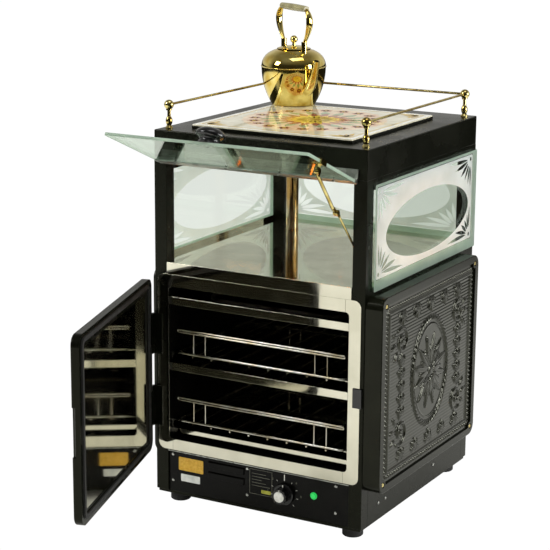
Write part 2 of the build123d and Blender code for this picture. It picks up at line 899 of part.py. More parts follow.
def kettle_spout(inset):
    """The tapered, swan-necked spout as a solid, shrunk by an inset."""
    root = Vector(*along_spout(spout_root_reach, spout_root_height))
    mouth = Vector(*along_spout(spout_mouth_reach, spout_mouth_height))
    outward = Vector(*along_spout(1, 0)) - Vector(*along_spout(0, 0))
    leaving = outward * 0.9 + Vector(0, 0, 0.45)
    pouring = outward * 0.35 + Vector(0, 0, 1.0)
    route = Spline(root, mouth, tangents=(leaving, pouring))
    sections = []
    for step in (0.0, 0.33, 0.66, 1.0):
        radius = spout_root_radius + (spout_mouth_radius - spout_root_radius) * step
        sections.append(Plane(origin=route @ step, z_dir=route % step) * Circle(radius - inset))
    return loft(sections)


def kettle_body():
    """The brass kettle: a spun body with a rolled seam and a tapered spout."""
    outer = kettle_form(0.0, 0.0, kettle_mouth_height)
    inner = kettle_form(kettle_wall, kettle_wall, kettle_mouth_height - kettle_wall)
    ring = Pos(kettle_belly_radius, kettle_belly_height) * Circle(kettle_seam_radius)
    outer += Pos(flue_x, flue_y, tile_top) * revolve(Plane.XZ * ring, Axis.Z)
    mouth_opening = bar(
        kettle_mouth_radius - kettle_mouth_lip,
        along_spout(0, kettle_shoulder_height),
        along_spout(0, kettle_mouth_height + kettle_wall),
    )
    steam_hole = bar(spigot_radius + seam, along_spout(0, -kettle_wall), along_spout(0, 2 * kettle_wall))
    body = outer + kettle_spout(0.0)
    return body - inner - kettle_spout(kettle_wall) - mouth_opening - steam_hole


def kettle_lid():
    """The domed lid with its turned finial."""
    base = kettle_mouth_height + seam
    ball_middle = base + lid_finial_rise
    neck_top = ball_middle - (lid_finial_radius**2 - lid_neck_radius**2) ** 0.5
    dome_top = base + lid_height
    edge = (lid_rim_radius, base + lid_edge)
    rim = Polyline((0, base), (lid_rim_radius, base), edge)
    dome = ThreePointArc(edge, (lid_rim_radius * 0.6, dome_top - lid_edge), (lid_neck_radius, dome_top))
    neck = Line((lid_neck_radius, dome_top), (lid_neck_radius, neck_top))
    tip = ball_middle + lid_finial_radius
    ball = ThreePointArc((lid_neck_radius, neck_top), (lid_finial_radius, ball_middle), (0, tip))
    return turned(rim + dome + neck + ball + Line((0, tip), (0, base)), Pos(flue_x, flue_y, tile_top))


def kettle_handle():
    """Two lugs on the shoulder and two leaf-shaped stems that rise to the grip."""
    knots = [
        (handle_lug_reach, handle_lug_top - handle_leaf_root, handle_leaf_taper),
        (handle_bulge_reach - handle_leaf_lean, handle_bulge_height - handle_leaf_rise, 0.8),
        (handle_bulge_reach, handle_bulge_height, 1.0),
        (handle_top_reach, handle_top_height, handle_leaf_taper),
    ]
    across = Vector(sin(radians(spout_azimuth)), -cos(radians(spout_azimuth)), 0)
    handle = []
    for side in (-1, 1):
        low = along_spout(side * handle_lug_reach, kettle_shoulder_height - kettle_wall)
        high = along_spout(side * handle_lug_reach, handle_lug_top)
        lug = bar(handle_lug_radius, low, high) - kettle_form(0.0, 0.0, kettle_mouth_height)
        centres = [Vector(*along_spout(side * reach, height)) for reach, height, _ in knots]
        sections = []
        for index, (_, _, swell) in enumerate(knots):
            rise = centres[min(index + 1, len(knots) - 1)] - centres[max(index - 1, 0)]
            plane = Plane(origin=centres[index], x_dir=across, z_dir=rise)
            sections.append(plane * Ellipse(handle_leaf_width * swell / 2, handle_leaf_thickness / 2))
        handle.append(lug + loft(sections))
    return handle


def kettle_grip():
    """The pale turned grip between the stems."""
    left = Vector(*along_spout(-grip_half_length, handle_top_height))
    right = Vector(*along_spout(grip_half_length, handle_top_height))
    length = 2 * grip_half_length
    swell = ThreePointArc((grip_waist_radius, 0), (grip_radius, length / 2), (grip_waist_radius, length))
    ends = Polyline((grip_waist_radius, length), (0, length), (0, 0), (grip_waist_radius, 0))
    grip = turned(swell + ends, Plane(origin=left, z_dir=right - left).location)
    for stem in kettle_handle():
        grip -= stem
    return grip


def top_board():
    """The black board under the picture tile, notched round the flue collar."""
    board = block(
        (-top_board_half_width, top_board_half_width),
        (front + top_board_front_margin, rear - top_board_rear_margin),
        (roof_top, roof_top + top_board_height),
    )
    return board - bar(collar_radius + seam, (flue_x, flue_y, roof_top - seam), (flue_x, flue_y, tile_top))


def picture_tile():
    """The glossy tile on the top board."""
    inset = picture_tile_inset
    tile = block(
        (inset - top_board_half_width, top_board_half_width - inset),
        (front + top_board_front_margin + inset, rear - top_board_rear_margin - inset),
        (roof_top + top_board_height, tile_top),
    )
    return tile - bar(collar_radius + seam, (flue_x, flue_y, roof_top), (flue_x, flue_y, tile_top + seam))


def gallery_places():
    """The balusters' places in plan."""
    y0, y1 = front + gallery_front_margin, rear - gallery_rear_margin
    return [(x, y) for x in (-gallery_half_width, gallery_half_width) for y in (y0, y1)]


def gallery_posts():
    """Turned brass balusters, each topped with a ball."""
    base_radius, base_thickness = baluster_foot
    rim_radius, collar_height = baluster_collar
    collar_top = gallery_ball_height - (gallery_ball_radius**2 - rim_radius**2) ** 0.5
    neck_top = collar_top - collar_height
    outline = Polyline((0, 0), (base_radius, 0), (base_radius, base_thickness), baluster_ankle)
    outline += ThreePointArc(baluster_ankle, baluster_belly, baluster_neck)
    ball_foot = (rim_radius, collar_top)
    outline += Polyline(baluster_neck, (baluster_neck[0], neck_top), (rim_radius, neck_top), ball_foot)
    top = gallery_ball_height + gallery_ball_radius
    outline += ThreePointArc(ball_foot, (gallery_ball_radius, gallery_ball_height), (0, top))
    outline += Line((0, top), (0, 0))
    return [turned(outline, Pos(x, y, roof_top)) for x, y in gallery_places()]


def gallery_rails():
    """Three brass rails, left, rear and right, that end against the balls."""
    y0, y1 = front + gallery_front_margin, rear - gallery_rear_margin
    z = roof_top + gallery_ball_height
    x = gallery_half_width
    reach = gallery_ball_radius - seam
    ends = [((side * x, y0 + reach, z), (side * x, y1 - reach, z)) for side in (-1, 1)]
    ends.append(((reach - x, y1, z), (x - reach, y1, z)))
    balls = [Pos(px, py, z) * Sphere(gallery_ball_radius) for px, py in gallery_places()]
    rails = []
    for start, end in ends:
        rail = bar(gallery_rail_radius, start, end)
        for ball in balls:
            rail -= ball
        rails.append(rail)
    return rails


# ======================================================================================
# Relief panels
# ======================================================================================

def relief_screw_places():
    """Screw places on a relief panel, from its middle: along the side, and up."""
    along = relief_length / 2 - relief_screw_inset
    up = relief_height / 2 - relief_screw_inset
    return [(u, v) for u in (-along, along) for v in (-up, up)]


def relief_panel(side):
    """A moulded side panel: a rounded tray with a stepped border and four screw dimples."""
    proud, step = relief_proud[side], relief_step[side]
    middle = (half_width, relief_centre_y, relief_centre_z)
    face = Plane(origin=middle, x_dir=(0, 1, 0), z_dir=(1, 0, 0))
    outer = extrude(face * RectangleRounded(relief_length, relief_height, relief_corner), amount=proud)
    outer = fillet(outer.faces().sort_by(Axis.X)[-1].edges(), relief_edge_radius)
    top = face.offset(proud)
    border = 2 * relief_border
    field = RectangleRounded(relief_length - border, relief_height - border, relief_corner / 2)
    outer -= extrude(top * field, amount=-step)
    dimple_radius = relief_screw_radius + relief_screw_clearance
    for u, v in relief_screw_places():
        boss = Pos(u, v) * Circle(dimple_radius + relief_boss_wall)
        outer += extrude(top.offset(-step) * boss, amount=step)
        dimple = Pos(u, v) * Circle(dimple_radius)
        outer -= extrude(top * dimple, amount=-screw_head_height - relief_screw_sink)
    cavity_depth = proud - step - relief_skin
    if cavity_depth > relief_skin:
        skin = 2 * relief_skin
        hollow = RectangleRounded(relief_length - skin, relief_height - skin, relief_corner - relief_skin)
        outer -= extrude(face * hollow, amount=cavity_depth)
    return outer if side == "right" else mirror(outer, about=Plane.YZ)


def relief_screws():
    """Brass screws in the dimples of both relief panels."""
    screws = []
    for side, sign in (("right", 1), ("left", -1)):
        seat = half_width + relief_proud[side] - screw_head_height - relief_screw_sink
        for u, v in relief_screw_places():
            place = (sign * seat, relief_centre_y + u, relief_centre_z + v)
            screws.append(screw(relief_screw_radius, screw_head_height, place, (sign, 0, 0)))
    return screws


# ======================================================================================
# Controls and wiring
# ======================================================================================

def louvre(z):
    """One pressed louvre: a rounded hood with a slot under it."""
    centre = Pos(louvre_centre_x, control_face_y - louvre_proud / 2, z)
    hood = centre * Box(louvre_width, louvre_proud, louvre_height)
    return fillet(hood.faces().sort_by(Axis.Y)[0].edges(), louvre_proud / 2)


def louvre_opening(z):
    """The air way behind a louvre's hood, open through the panel and downwards."""
    half_room = louvre_width / 2 - louvre_side_wall
    x_span = (louvre_centre_x - half_room, louvre_centre_x + half_room)
    panel_back = control_face_y + 2 * case_sheet
    bottom, top = z - louvre_height / 2, z + louvre_height / 2
    room_y = (control_face_y - louvre_proud + louvre_wall, panel_back)
    room = block(x_span, room_y, (bottom - louvre_wall, bottom + louvre_slot))
    throat = block(x_span, (control_face_y, panel_back), (bottom + louvre_wall, top - louvre_side_wall))
    return room, throat


def control_panel():
    """The recessed control panel, with two louvres and holes for the knob and the lamp."""
    x = post_inner - seam
    z_span = (base_top, oven_deck_top - oven_deck_sheet)
    panel = block((-x, x), (control_face_y, control_face_y + case_sheet), z_span)
    for z in louvre_levels:
        panel += louvre(z)
    for z in louvre_levels:
        for opening in louvre_opening(z):
            panel -= opening
    y0, y1 = control_face_y - case_sheet, control_face_y + 2 * case_sheet
    panel -= bar(thermostat_bush_radius + slip, (knob_x, y0, knob_z), (knob_x, y1, knob_z))
    return panel - bar(neon_stem_radius + seam, (neon_x, y0, neon_z), (neon_x, y1, neon_z))


def thermostat():
    """The thermostat behind the panel, with a threaded bush that carries the knob's shaft."""
    behind = control_face_y + case_sheet
    half, depth = thermostat_half, thermostat_depth
    body = block((knob_x - half, knob_x + half), (behind, behind + depth), (knob_z - half, knob_z + half))
    body = fillet(body.edges().filter_by(Axis.Y), thermostat_corner)
    bush_end = control_face_y - thermostat_bush_reach
    body += bar(thermostat_bush_radius, (knob_x, behind + slip, knob_z), (knob_x, bush_end, knob_z))
    nut_plane = Plane(origin=(knob_x, control_face_y, knob_z), z_dir=(0, -1, 0))
    body += extrude(nut_plane * RegularPolygon(thermostat_nut_radius, 6), amount=thermostat_nut_height)
    shaft_room = thermostat_shaft_radius + running_clearance
    bottom = behind + thermostat_shaft_depth + thermostat_bush_reach
    return body - bar(shaft_room, (knob_x, bush_end - slip, knob_z), (knob_x, bottom, knob_z))


def thermostat_knob():
    """The black control knob: a skirt, a ribbed grip and the shaft in the thermostat's bush."""
    face_y = knob_base_y - knob_height + knob_cap_height
    knob = disc(knob_skirt_radius, (knob_x, knob_base_y, knob_z), (0, -1, 0), knob_skirt_height)
    knob = chamfer(knob.edges().sort_by(Axis.Y)[0], knob_cap_height)
    grip = bar(knob_grip_radius, (knob_x, knob_base_y, knob_z), (knob_x, face_y, knob_z))
    flute_reach = knob_grip_radius + knob_flute_radius / 2
    for index in range(knob_flute_count):
        angle = 2 * pi * index / knob_flute_count
        x, z = knob_x + flute_reach * cos(angle), knob_z + flute_reach * sin(angle)
        grip -= bar(knob_flute_radius, (x, knob_base_y - knob_skirt_height, z), (x, face_y - slip, z))
    knob += grip
    recess_radius = thermostat_nut_radius + 1.0
    recess_bottom = knob_base_y - thermostat_bush_reach
    knob -= bar(recess_radius, (knob_x, knob_base_y + slip, knob_z), (knob_x, recess_bottom, knob_z))
    shaft_end = control_face_y + case_sheet + thermostat_shaft_depth
    shaft_start = knob_base_y - knob_skirt_height
    return knob + bar(thermostat_shaft_radius, (knob_x, shaft_start, knob_z), (knob_x, shaft_end, knob_z))


def knob_cap():
    """The bright cap on the knob's face."""
    face_y = knob_base_y - knob_height + knob_cap_height
    cap = disc(knob_cap_radius, (knob_x, face_y, knob_z), (0, -1, 0), knob_cap_height)
    return chamfer(cap.edges().sort_by(Axis.Y)[0], knob_cap_height / 3)


def neon_lamp():
    """The green indicator: a domed lens with a flange on the panel and a body behind it."""
    flange_y = control_face_y - case_sheet
    lamp = bar(neon_radius, (neon_x, control_face_y, neon_z), (neon_x, flange_y, neon_z))
    lens = disc(neon_lens_radius, (neon_x, flange_y, neon_z), (0, -1, 0), neon_lens_height)
    lamp += fillet(lens.edges().sort_by(Axis.Y)[0], neon_lens_height * 0.75)
    stem_end = (neon_x, control_face_y + neon_stem_depth, neon_z)
    return lamp + bar(neon_stem_radius, (neon_x, control_face_y, neon_z), stem_end)


def case_screws():
    """Round-headed screws of the control panel, the base's right side and the door catch."""
    left, right = panel_screw_insets
    below, above = panel_screw_margins
    columns = (left - post_inner, panel_screw_middle_x, post_inner - right)
    rows = (base_top + below, oven_deck_top - above)
    places = [((x, control_face_y, z), (0, -1, 0)) for x in columns for z in rows]
    side_z = base_top + side_screw_rise
    places += [((half_width, front + along, side_z), (1, 0, 0)) for along in side_screw_positions]
    catch_y = front + post_size / 2
    places += [((half_width, catch_y, z), (1, 0, 0)) for z in (catch_bottom, catch_top - catch_screw_inset)]
    return [screw(screw_head_radius, screw_head_height, seat, direction) for seat, direction in places]


def cable_gland():
    """The cable gland in the rear panel: a flanged body outside and a lock nut inside."""
    inner_face = rear - case_sheet
    inside = inner_face - gland_inside
    nut = RegularPolygon(gland_nut_radius, 6)
    body = extrude(Plane(origin=(gland_x, rear, gland_z), z_dir=(0, 1, 0)) * nut, amount=gland_nut_height)
    dome_place = (gland_x, rear + gland_nut_height, gland_z)
    dome = disc(gland_dome_radius, dome_place, (0, 1, 0), gland_reach - gland_nut_height)
    body += fillet(dome.edges().sort_by(Axis.Y)[-1], gland_dome_radius / 3)
    body += bar(gland_barrel_radius, (gland_x, rear + slip, gland_z), (gland_x, inside, gland_z))
    lock_plane = Plane(origin=(gland_x, inner_face, gland_z), z_dir=(0, -1, 0))
    body += extrude(lock_plane * nut, amount=gland_lock_height)
    bore_end = (gland_x, rear + gland_reach + slip, gland_z)
    return body - bar(gland_bore_radius, (gland_x, inside - slip, gland_z), bore_end)


def terminal_block():
    """The mains terminal block on the base tray, near the gland."""
    y0 = rear - terminal_setback
    x0 = gland_x - terminal_way_count * terminal_pitch / 2
    deck = base_top + terminal_height
    body = block((x0, x0 + terminal_way_count * terminal_pitch), (y0, y0 + terminal_depth), (base_top, deck))
    reach = terminal_pitch / 2 - terminal_wall + seam
    tower_y = (y0 + terminal_wall, y0 + terminal_depth - terminal_wall)
    bore_z = base_top + terminal_height / 2
    for index in range(terminal_way_count):
        x = x0 + terminal_pitch * (index + 0.5)
        body += block((x - reach, x + reach), tower_y, (deck - seam, deck + terminal_tower))
        body -= bar(terminal_bore_radius, (x, y0 - slip, bore_z), (x, y0 + terminal_depth + slip, bore_z))
    return body


# ======================================================================================
# Oven door, drawn shut and then swung open about its hinge pins
# ======================================================================================

def swung(solid):
    """Turns a door piece from shut to the open pose at rest."""
    axis = Pos(door_hinge_x, door_hinge_y, 0)
    return axis * Rot(0, 0, -door_open_angle) * axis.inverse() * solid


def door_plane(y):
    """A plane at one depth of the shut door, facing forwards, with its middle at the door's."""
    return Plane(origin=((door_left + door_right) / 2, y, door_middle), x_dir=(1, 0, 0), z_dir=(0, -1, 0))


def door_shell():
    """The door's black pan: rounded corners, an inner rim and a finger scoop at its free edge."""
    back = door_plane(door_inner_y)
    shell = extrude(back * RectangleRounded(door_width, door_height, door_corner), amount=door_thickness)
    shell = fillet(shell.faces().sort_by(Axis.Y)[0].edges(), door_edge_radius)
    wall = door_skin
    hollow = RectangleRounded(door_width - 2 * wall, door_height - 2 * wall, door_corner - wall)
    rim_depth = door_panel_recess + door_panel_thickness + wall
    shell -= extrude(back.offset(rim_depth) * hollow, amount=door_thickness - rim_depth - wall)
    window = RectangleRounded(door_width - 2 * door_rim, door_height - 2 * door_rim, door_corner / 2)
    shell -= extrude(back * window, amount=rim_depth)
    half_scoop = finger_scoop_length / 2
    shell += block(
        (door_right - wall - finger_scoop_radius, door_right - wall),
        (door_inner_y - door_thickness + wall, door_inner_y - rim_depth),
        (door_middle - half_scoop - 2 * wall, door_middle + half_scoop + 2 * wall),
    )
    x = door_right + finger_scoop_offset / 2
    y = door_inner_y - door_thickness - finger_scoop_offset
    return shell - bar(finger_scoop_radius, (x, y, door_middle - half_scoop), (x, y, door_middle + half_scoop))


def door_wool():
    """The insulation inside the door pan."""
    inner = door_panel_recess + door_panel_thickness + door_skin + seam
    depth = door_thickness - inner - door_skin - seam
    side_room = 2 * (finger_scoop_radius + 2 * door_skin)
    end_room = 2 * (door_skin + seam)
    size = RectangleRounded(door_width - side_room, door_height - end_room, door_corner - door_skin - seam)
    return extrude(door_plane(door_inner_y).offset(inner) * size, amount=depth)


def door_inner_panel():
    """The mirror-polished inner panel that fills the door's rim."""
    gap = 2 * door_rim + 2 * seam
    plane = door_plane(door_inner_y).offset(door_panel_recess)
    panel = RectangleRounded(door_width - gap, door_height - gap, door_corner / 2)
    return extrude(plane * panel, amount=door_panel_thickness)


def door_seal():
    """The seal ring on the door's rim, facing the bright surround."""
    depth = door_stand_off - surround_sheet - seal_gap
    outer_width = 2 * seal_edge
    outer_height = opening_top - opening_bottom + 2 * (seal_outset + seal_width / 2)
    plane = Plane(origin=(0, door_inner_y, opening_middle), x_dir=(1, 0, 0), z_dir=(0, 1, 0))
    ring = RectangleRounded(outer_width, outer_height, opening_corner + seal_width)
    inside = 2 * seal_width
    ring -= RectangleRounded(outer_width - inside, outer_height - inside, opening_corner)
    return extrude(plane * ring, amount=depth)


def hinge_knuckles(half):
    """The lower or the upper knuckle of each door hinge, as bottom and top heights."""
    spans = []
    for bottom in hinge_bottoms:
        middle = bottom + hinge_length / 2
        lower = (bottom, middle - knuckle_gap / 2)
        upper = (middle + knuckle_gap / 2, bottom + hinge_length)
        spans.append(lower if half == "lower" else upper)
    return spans


def hinge_axis(z):
    """A point of the door's hinge axis."""
    return (door_hinge_x, door_hinge_y, z)


def door_hinge_fixed():
    """The cabinet's halves of the two lift-off hinges, with their pins."""
    leaves = []
    plate_back = front - surround_sheet
    for z0, z1 in hinge_knuckles("lower"):
        top = z0 + hinge_length
        leaf = bar(door_barrel_radius, hinge_axis(z0), hinge_axis(z1))
        plate_x = (door_hinge_x, door_hinge_x + hinge_leaf_reach)
        leaf += block(plate_x, (plate_back - hinge_leaf_sheet, plate_back), (z0, top))
        leaf += block((door_hinge_x, door_hinge_x + door_barrel_radius), (door_hinge_y, plate_back), (z0, z1))
        leaf += bar(door_pin_radius, hinge_axis(z0), hinge_axis(top - door_pin_short))
        leaves.append(leaf)
    return leaves


def door_hinge_moving():
    """The door's halves of the hinges, on the edge of the door."""
    leaves = []
    plate_x = (door_left - hinge_leaf_sheet, door_left)
    plate_y = (door_inner_y - door_thickness + door_leaf_margin, door_inner_y - door_panel_recess / 2)
    web_y = (door_hinge_y - door_web_thickness / 2, door_hinge_y + door_web_thickness / 2)
    for z0, z1 in hinge_knuckles("upper"):
        leaf = bar(door_barrel_radius, hinge_axis(z0), hinge_axis(z1))
        leaf += block((door_hinge_x, door_left - hinge_leaf_sheet / 2), web_y, (z0, z1))
        leaf += block(plate_x, plate_y, (z0, z1))
        bore_top = z1 - door_pin_short + seam
        leaf -= bar(door_pin_radius + running_clearance, hinge_axis(z0 - seam), hinge_axis(bore_top))
        leaves.append(leaf)
    return leaves


def door_catch():
    """The magnetic catch on the surround's right-hand strip, hooked round its edge to the post."""
    back = front - surround_sheet
    y_span = (back - catch_height, back)
    x_end = surround_half_width + catch_post_reach
    z_span = (catch_bottom, catch_top)
    plate = block((seal_edge + catch_seal_gap, x_end), y_span, z_span)
    plate = chamfer(plate.faces().sort_by(Axis.Y)[0].edges(), catch_bevel)
    return plate + block((surround_half_width + seam, x_end), (back - catch_bevel, front), z_span)


def door_striker():
    """The steel plate on the door's rim that meets the catch."""
    x_span = (seal_edge + seam, door_right - striker_margin)
    y_span = (door_inner_y, door_inner_y + striker_sheet)
    return block(x_span, y_span, (catch_bottom + striker_margin, catch_top - striker_margin))


# ======================================================================================
# Glass flap, drawn flat along -Y from its hinge line and then tilted, and its stay
# ======================================================================================

flap_place = Location((0, flap_hinge_y, flap_hinge_z), (-flap_angle, 0, 0))


def flap_glass():
    """The frameless pane of the flap, with its bolt holes."""
    middle = Plane(origin=(0, -(flap_glass_start + flap_length) / 2, -flap_half_glass))
    outline = RectangleRounded(2 * flap_half_width, flap_length - flap_glass_start, flap_glass_corner)
    pane = extrude(middle * outline, amount=flap_glass_thickness)
    for x in flap_bolt_columns():
        pane -= through_flap(flap_shank_radius + seam, x, -flap_bolt_reach)
    return flap_place * (pane - through_flap(flap_knob_stud_radius + seam, 0, -flap_knob_reach))


def through_flap(radius, x, y):
    """A round bar right through the flap's pane and leaf, drawn flat."""
    reach = flap_glass_thickness + flap_leaf_sheet
    return bar(radius, (x, y, -reach), (x, y, reach))


def flap_bolt_columns():
    """The places of the flap's bolts along its hinge."""
    reach = flap_half_width - flap_bolt_margin
    return [reach * (2 * index / (flap_bolt_count - 1) - 1) for index in range(flap_bolt_count)]


def flap_knuckle_spans():
    """The knuckles of the flap's long hinge, from left to right."""
    pitch = 2 * flap_half_width / flap_knuckle_count
    spans = []
    for index in range(flap_knuckle_count):
        x0 = -flap_half_width + index * pitch
        spans.append((x0 + knuckle_gap / 2, x0 + pitch - knuckle_gap / 2))
    return spans


def flap_hinge_moving():
    """The moving leaf under the pane, with every second knuckle."""
    z_span = (-flap_half_glass - flap_leaf_sheet, -flap_half_glass)
    leaf = block((-flap_half_width, flap_half_width), (-flap_leaf_reach, 0), z_span)
    clear = flap_barrel_radius + flap_leaf_sheet
    for index, (x0, x1) in enumerate(flap_knuckle_spans()):
        if index % 2:
            leaf += bar(flap_barrel_radius, (x0, 0, 0), (x1, 0, 0))
        else:
            leaf -= block((x0 - knuckle_gap, x1 + knuckle_gap), (-clear, clear), (-clear, clear))
    pin_end = flap_half_width + seam
    leaf -= bar(flap_pin_radius + running_clearance, (-pin_end, 0, 0), (pin_end, 0, 0))
    for x in flap_bolt_columns():
        leaf -= through_flap(flap_shank_radius + slip, x, -flap_bolt_reach)
    return flap_place * leaf


def flap_hinge_fixed():
    """The fixed leaf on the front of the roof, with the other knuckles and the long pin."""
    y, z = flap_hinge_y, flap_hinge_z
    low, high = flap_fixed_leaf
    plate_y = (front - flap_fixed_leaf_sheet, front)
    leaf = block((-flap_half_width, flap_half_width), plate_y, (z + low, z + high))
    for x0, x1 in flap_knuckle_spans()[::2]:
        leaf += bar(flap_barrel_radius, (x0, y, z), (x1, y, z))
        leaf += block((x0, x1), (y, front), (z + low / 2, z + low + flap_leaf_sheet))
    return leaf + bar(flap_pin_radius, (-flap_half_width, y, z), (flap_half_width, y, z))


def flap_bolts():
    """Four small bolts that clamp the pane to its leaf, heads above and nuts below."""
    under = -flap_half_glass - flap_leaf_sheet
    bolts = []
    for x in flap_bolt_columns():
        y = -flap_bolt_reach
        bolt = screw(flap_bolt_radius, flap_bolt_head, (x, y, flap_half_glass), (0, 0, 1))
        nut_plane = Plane(origin=(x, y, under), z_dir=(0, 0, -1))
        bolt += extrude(nut_plane * RegularPolygon(flap_bolt_radius, 6), amount=flap_bolt_head)
        bolt += bar(flap_shank_radius, (x, y, under), (x, y, flap_half_glass))
        bolts.append(flap_place * bolt)
    return bolts


def flap_knob():
    """The black mushroom knob that lifts the flap, with its fixing through the glass."""
    y = -flap_knob_reach
    brim = (flap_knob_radius, flap_knob_height - flap_knob_brim_drop)
    waist = (flap_knob_waist_radius, flap_knob_waist_radius / 2)
    top = flap_knob_height
    outline = Polyline((0, 0), (flap_knob_foot_radius, 0), waist, (flap_knob_waist_radius, flap_knob_neck_rise))
    outline += Line((flap_knob_waist_radius, flap_knob_neck_rise), brim)
    outline += TangentArc((0, top), brim, tangent=(1, 0)) + Line((0, top), (0, 0))
    knob = turned(outline, Pos(0, y, flap_half_glass))
    washer_radius, washer_height = flap_knob_washer
    knob += disc(washer_radius, (0, y, -flap_half_glass), (0, 0, -1), washer_height)
    knob += bar(flap_knob_stud_radius, (0, y, -flap_half_glass), (0, y, flap_half_glass))
    return flap_place * knob


def flap_point(reach, rise):
    """A point of the flap in the cabinet's frame, from its reach along the pane and rise off it."""
    angle = radians(flap_angle)
    y = flap_hinge_y - reach * cos(angle) + rise * sin(angle)
    z = flap_hinge_z + reach * sin(angle) + rise * cos(angle)
    return y, z


def stay_points():
    """The stay's three pivots in Y and Z: on the flap, at the knuckle and on the post."""
    flap_pivot = flap_point(stay_flap_reach, -stay_flap_drop)
    knuckle = (front - stay_knuckle_forward, flap_hinge_z - stay_knuckle_drop)
    anchor = (post_back_of_front - stay_anchor_inset, display_floor_top + stay_anchor_rise)
    return flap_pivot, knuckle, anchor


def stay_bracket():
    """The brass clamp on the flap's right-hand edge, with the lug and pin of the stay."""
    near, far = clamp_reach
    y_span = (-stay_flap_reach - far, -stay_flap_reach - near)
    outside = flap_half_width + clamp_overhang
    top_z, under_z = flap_half_glass + clamp_top_sheet, -flap_half_glass - clamp_under_sheet
    bracket = block((flap_half_width - clamp_lap, outside), y_span, (flap_half_glass, top_z))
    bracket += block((stay_rod_eye[0], outside), y_span, (under_z, -flap_half_glass))
    bracket += block((flap_half_width + seam, outside), y_span, (under_z, top_z))

    pivot = (-stay_flap_reach, -stay_flap_drop)
    lug_y = (-stay_flap_reach - stay_eye_radius, -stay_flap_reach)
    root_y = (-stay_flap_reach - 2 * near, -stay_flap_reach)
    lug = block(stay_rod_eye, root_y, (under_z - near, -flap_half_glass))
    lug += block(stay_rod_eye, lug_y, (-stay_flap_drop, -flap_half_glass))
    bracket += lug + bar(stay_eye_radius, (stay_rod_eye[0], *pivot), (stay_rod_eye[1], *pivot))
    head_x = stay_tube_tongue[0] - seam
    bracket += bar(stay_pin_radius, (stay_rod_eye[0] + seam, *pivot), (head_x, *pivot))
    bracket += disc(stay_head_radius, (head_x, *pivot), (-1, 0, 0), stay_head_height)
    for y in (y_span[0] + clamp_screw_margin, y_span[1] - clamp_screw_margin):
        seat = (flap_half_width - clamp_screw_inset, y, top_z)
        bracket += screw(screw_head_radius, screw_head_height, seat, (0, 0, 1))
    return flap_place * bracket


def link(start, end, x, radius, eye_span, tongue_length):
    """A round link between two pivots, with a flat eye at each end."""
    start, end = Vector(x, *start), Vector(x, *end)
    along = (end - start).normalized()
    shape = bar(radius, tuple(start + along * tongue_length), tuple(end - along * tongue_length))
    x0, x1 = eye_span
    reach = tongue_length + stay_tongue_lap
    for pivot, inward in ((start, along), (end, along * -1)):
        shape += bar(stay_eye_radius, (x0, pivot.Y, pivot.Z), (x1, pivot.Y, pivot.Z))
        middle = pivot + inward * reach / 2
        tongue_plane = Plane(origin=(x0, middle.Y, middle.Z), x_dir=inward, z_dir=(1, 0, 0))
        shape += extrude(tongue_plane * Rectangle(reach, 2 * radius), amount=x1 - x0)
    return shape


def pivot_hole(eye_span, pivot):
    """The running bore for a stay pin through an eye."""
    radius = stay_pin_radius + running_clearance
    return bar(radius, (eye_span[0] - seam, *pivot), (eye_span[1] + seam, *pivot))


def stay_tube():
    """The stay's thicker upper link, pinned to the flap's bracket."""
    flap_pivot, knuckle, _ = stay_points()
    tube = link(flap_pivot, knuckle, stay_tube_x, stay_tube_radius, stay_tube_tongue, stay_tube_tongue_length)
    tube -= pivot_hole(stay_tube_tongue, flap_pivot)
    return tube + disc(stay_head_radius, (stay_tube_tongue[0], *knuckle), (-1, 0, 0), stay_head_height)


def stay_rod():
    """The stay's thinner lower link, pinned to the plate on the right-hand post."""
    _, knuckle, anchor = stay_points()
    rod = link(knuckle, anchor, stay_rod_x, stay_rod_radius, stay_rod_eye, stay_rod_tongue_length)
    rod -= pivot_hole(stay_rod_eye, anchor)
    return rod + disc(stay_head_radius, (stay_rod_eye[1], *knuckle), (1, 0, 0), stay_head_height / 2)


def stay_post_plate():
    """The small plate on the post's inner face, with the stay's lower pin."""
    _, _, (y, z) = stay_points()
    y_span = (post_back_of_front - stay_plate_width, post_back_of_front)
    z_span = (z - stay_plate_height / 2, z + stay_plate_height / 2)
    plate = block((stay_plate_x, post_inner), y_span, z_span)
    head_x = stay_rod_eye[0] - stay_side_gap
    plate += bar(stay_pin_radius, (stay_plate_x, y, z), (head_x, y, z))
    return plate + disc(stay_head_radius, (head_x, y, z), (-1, 0, 0), stay_head_height)


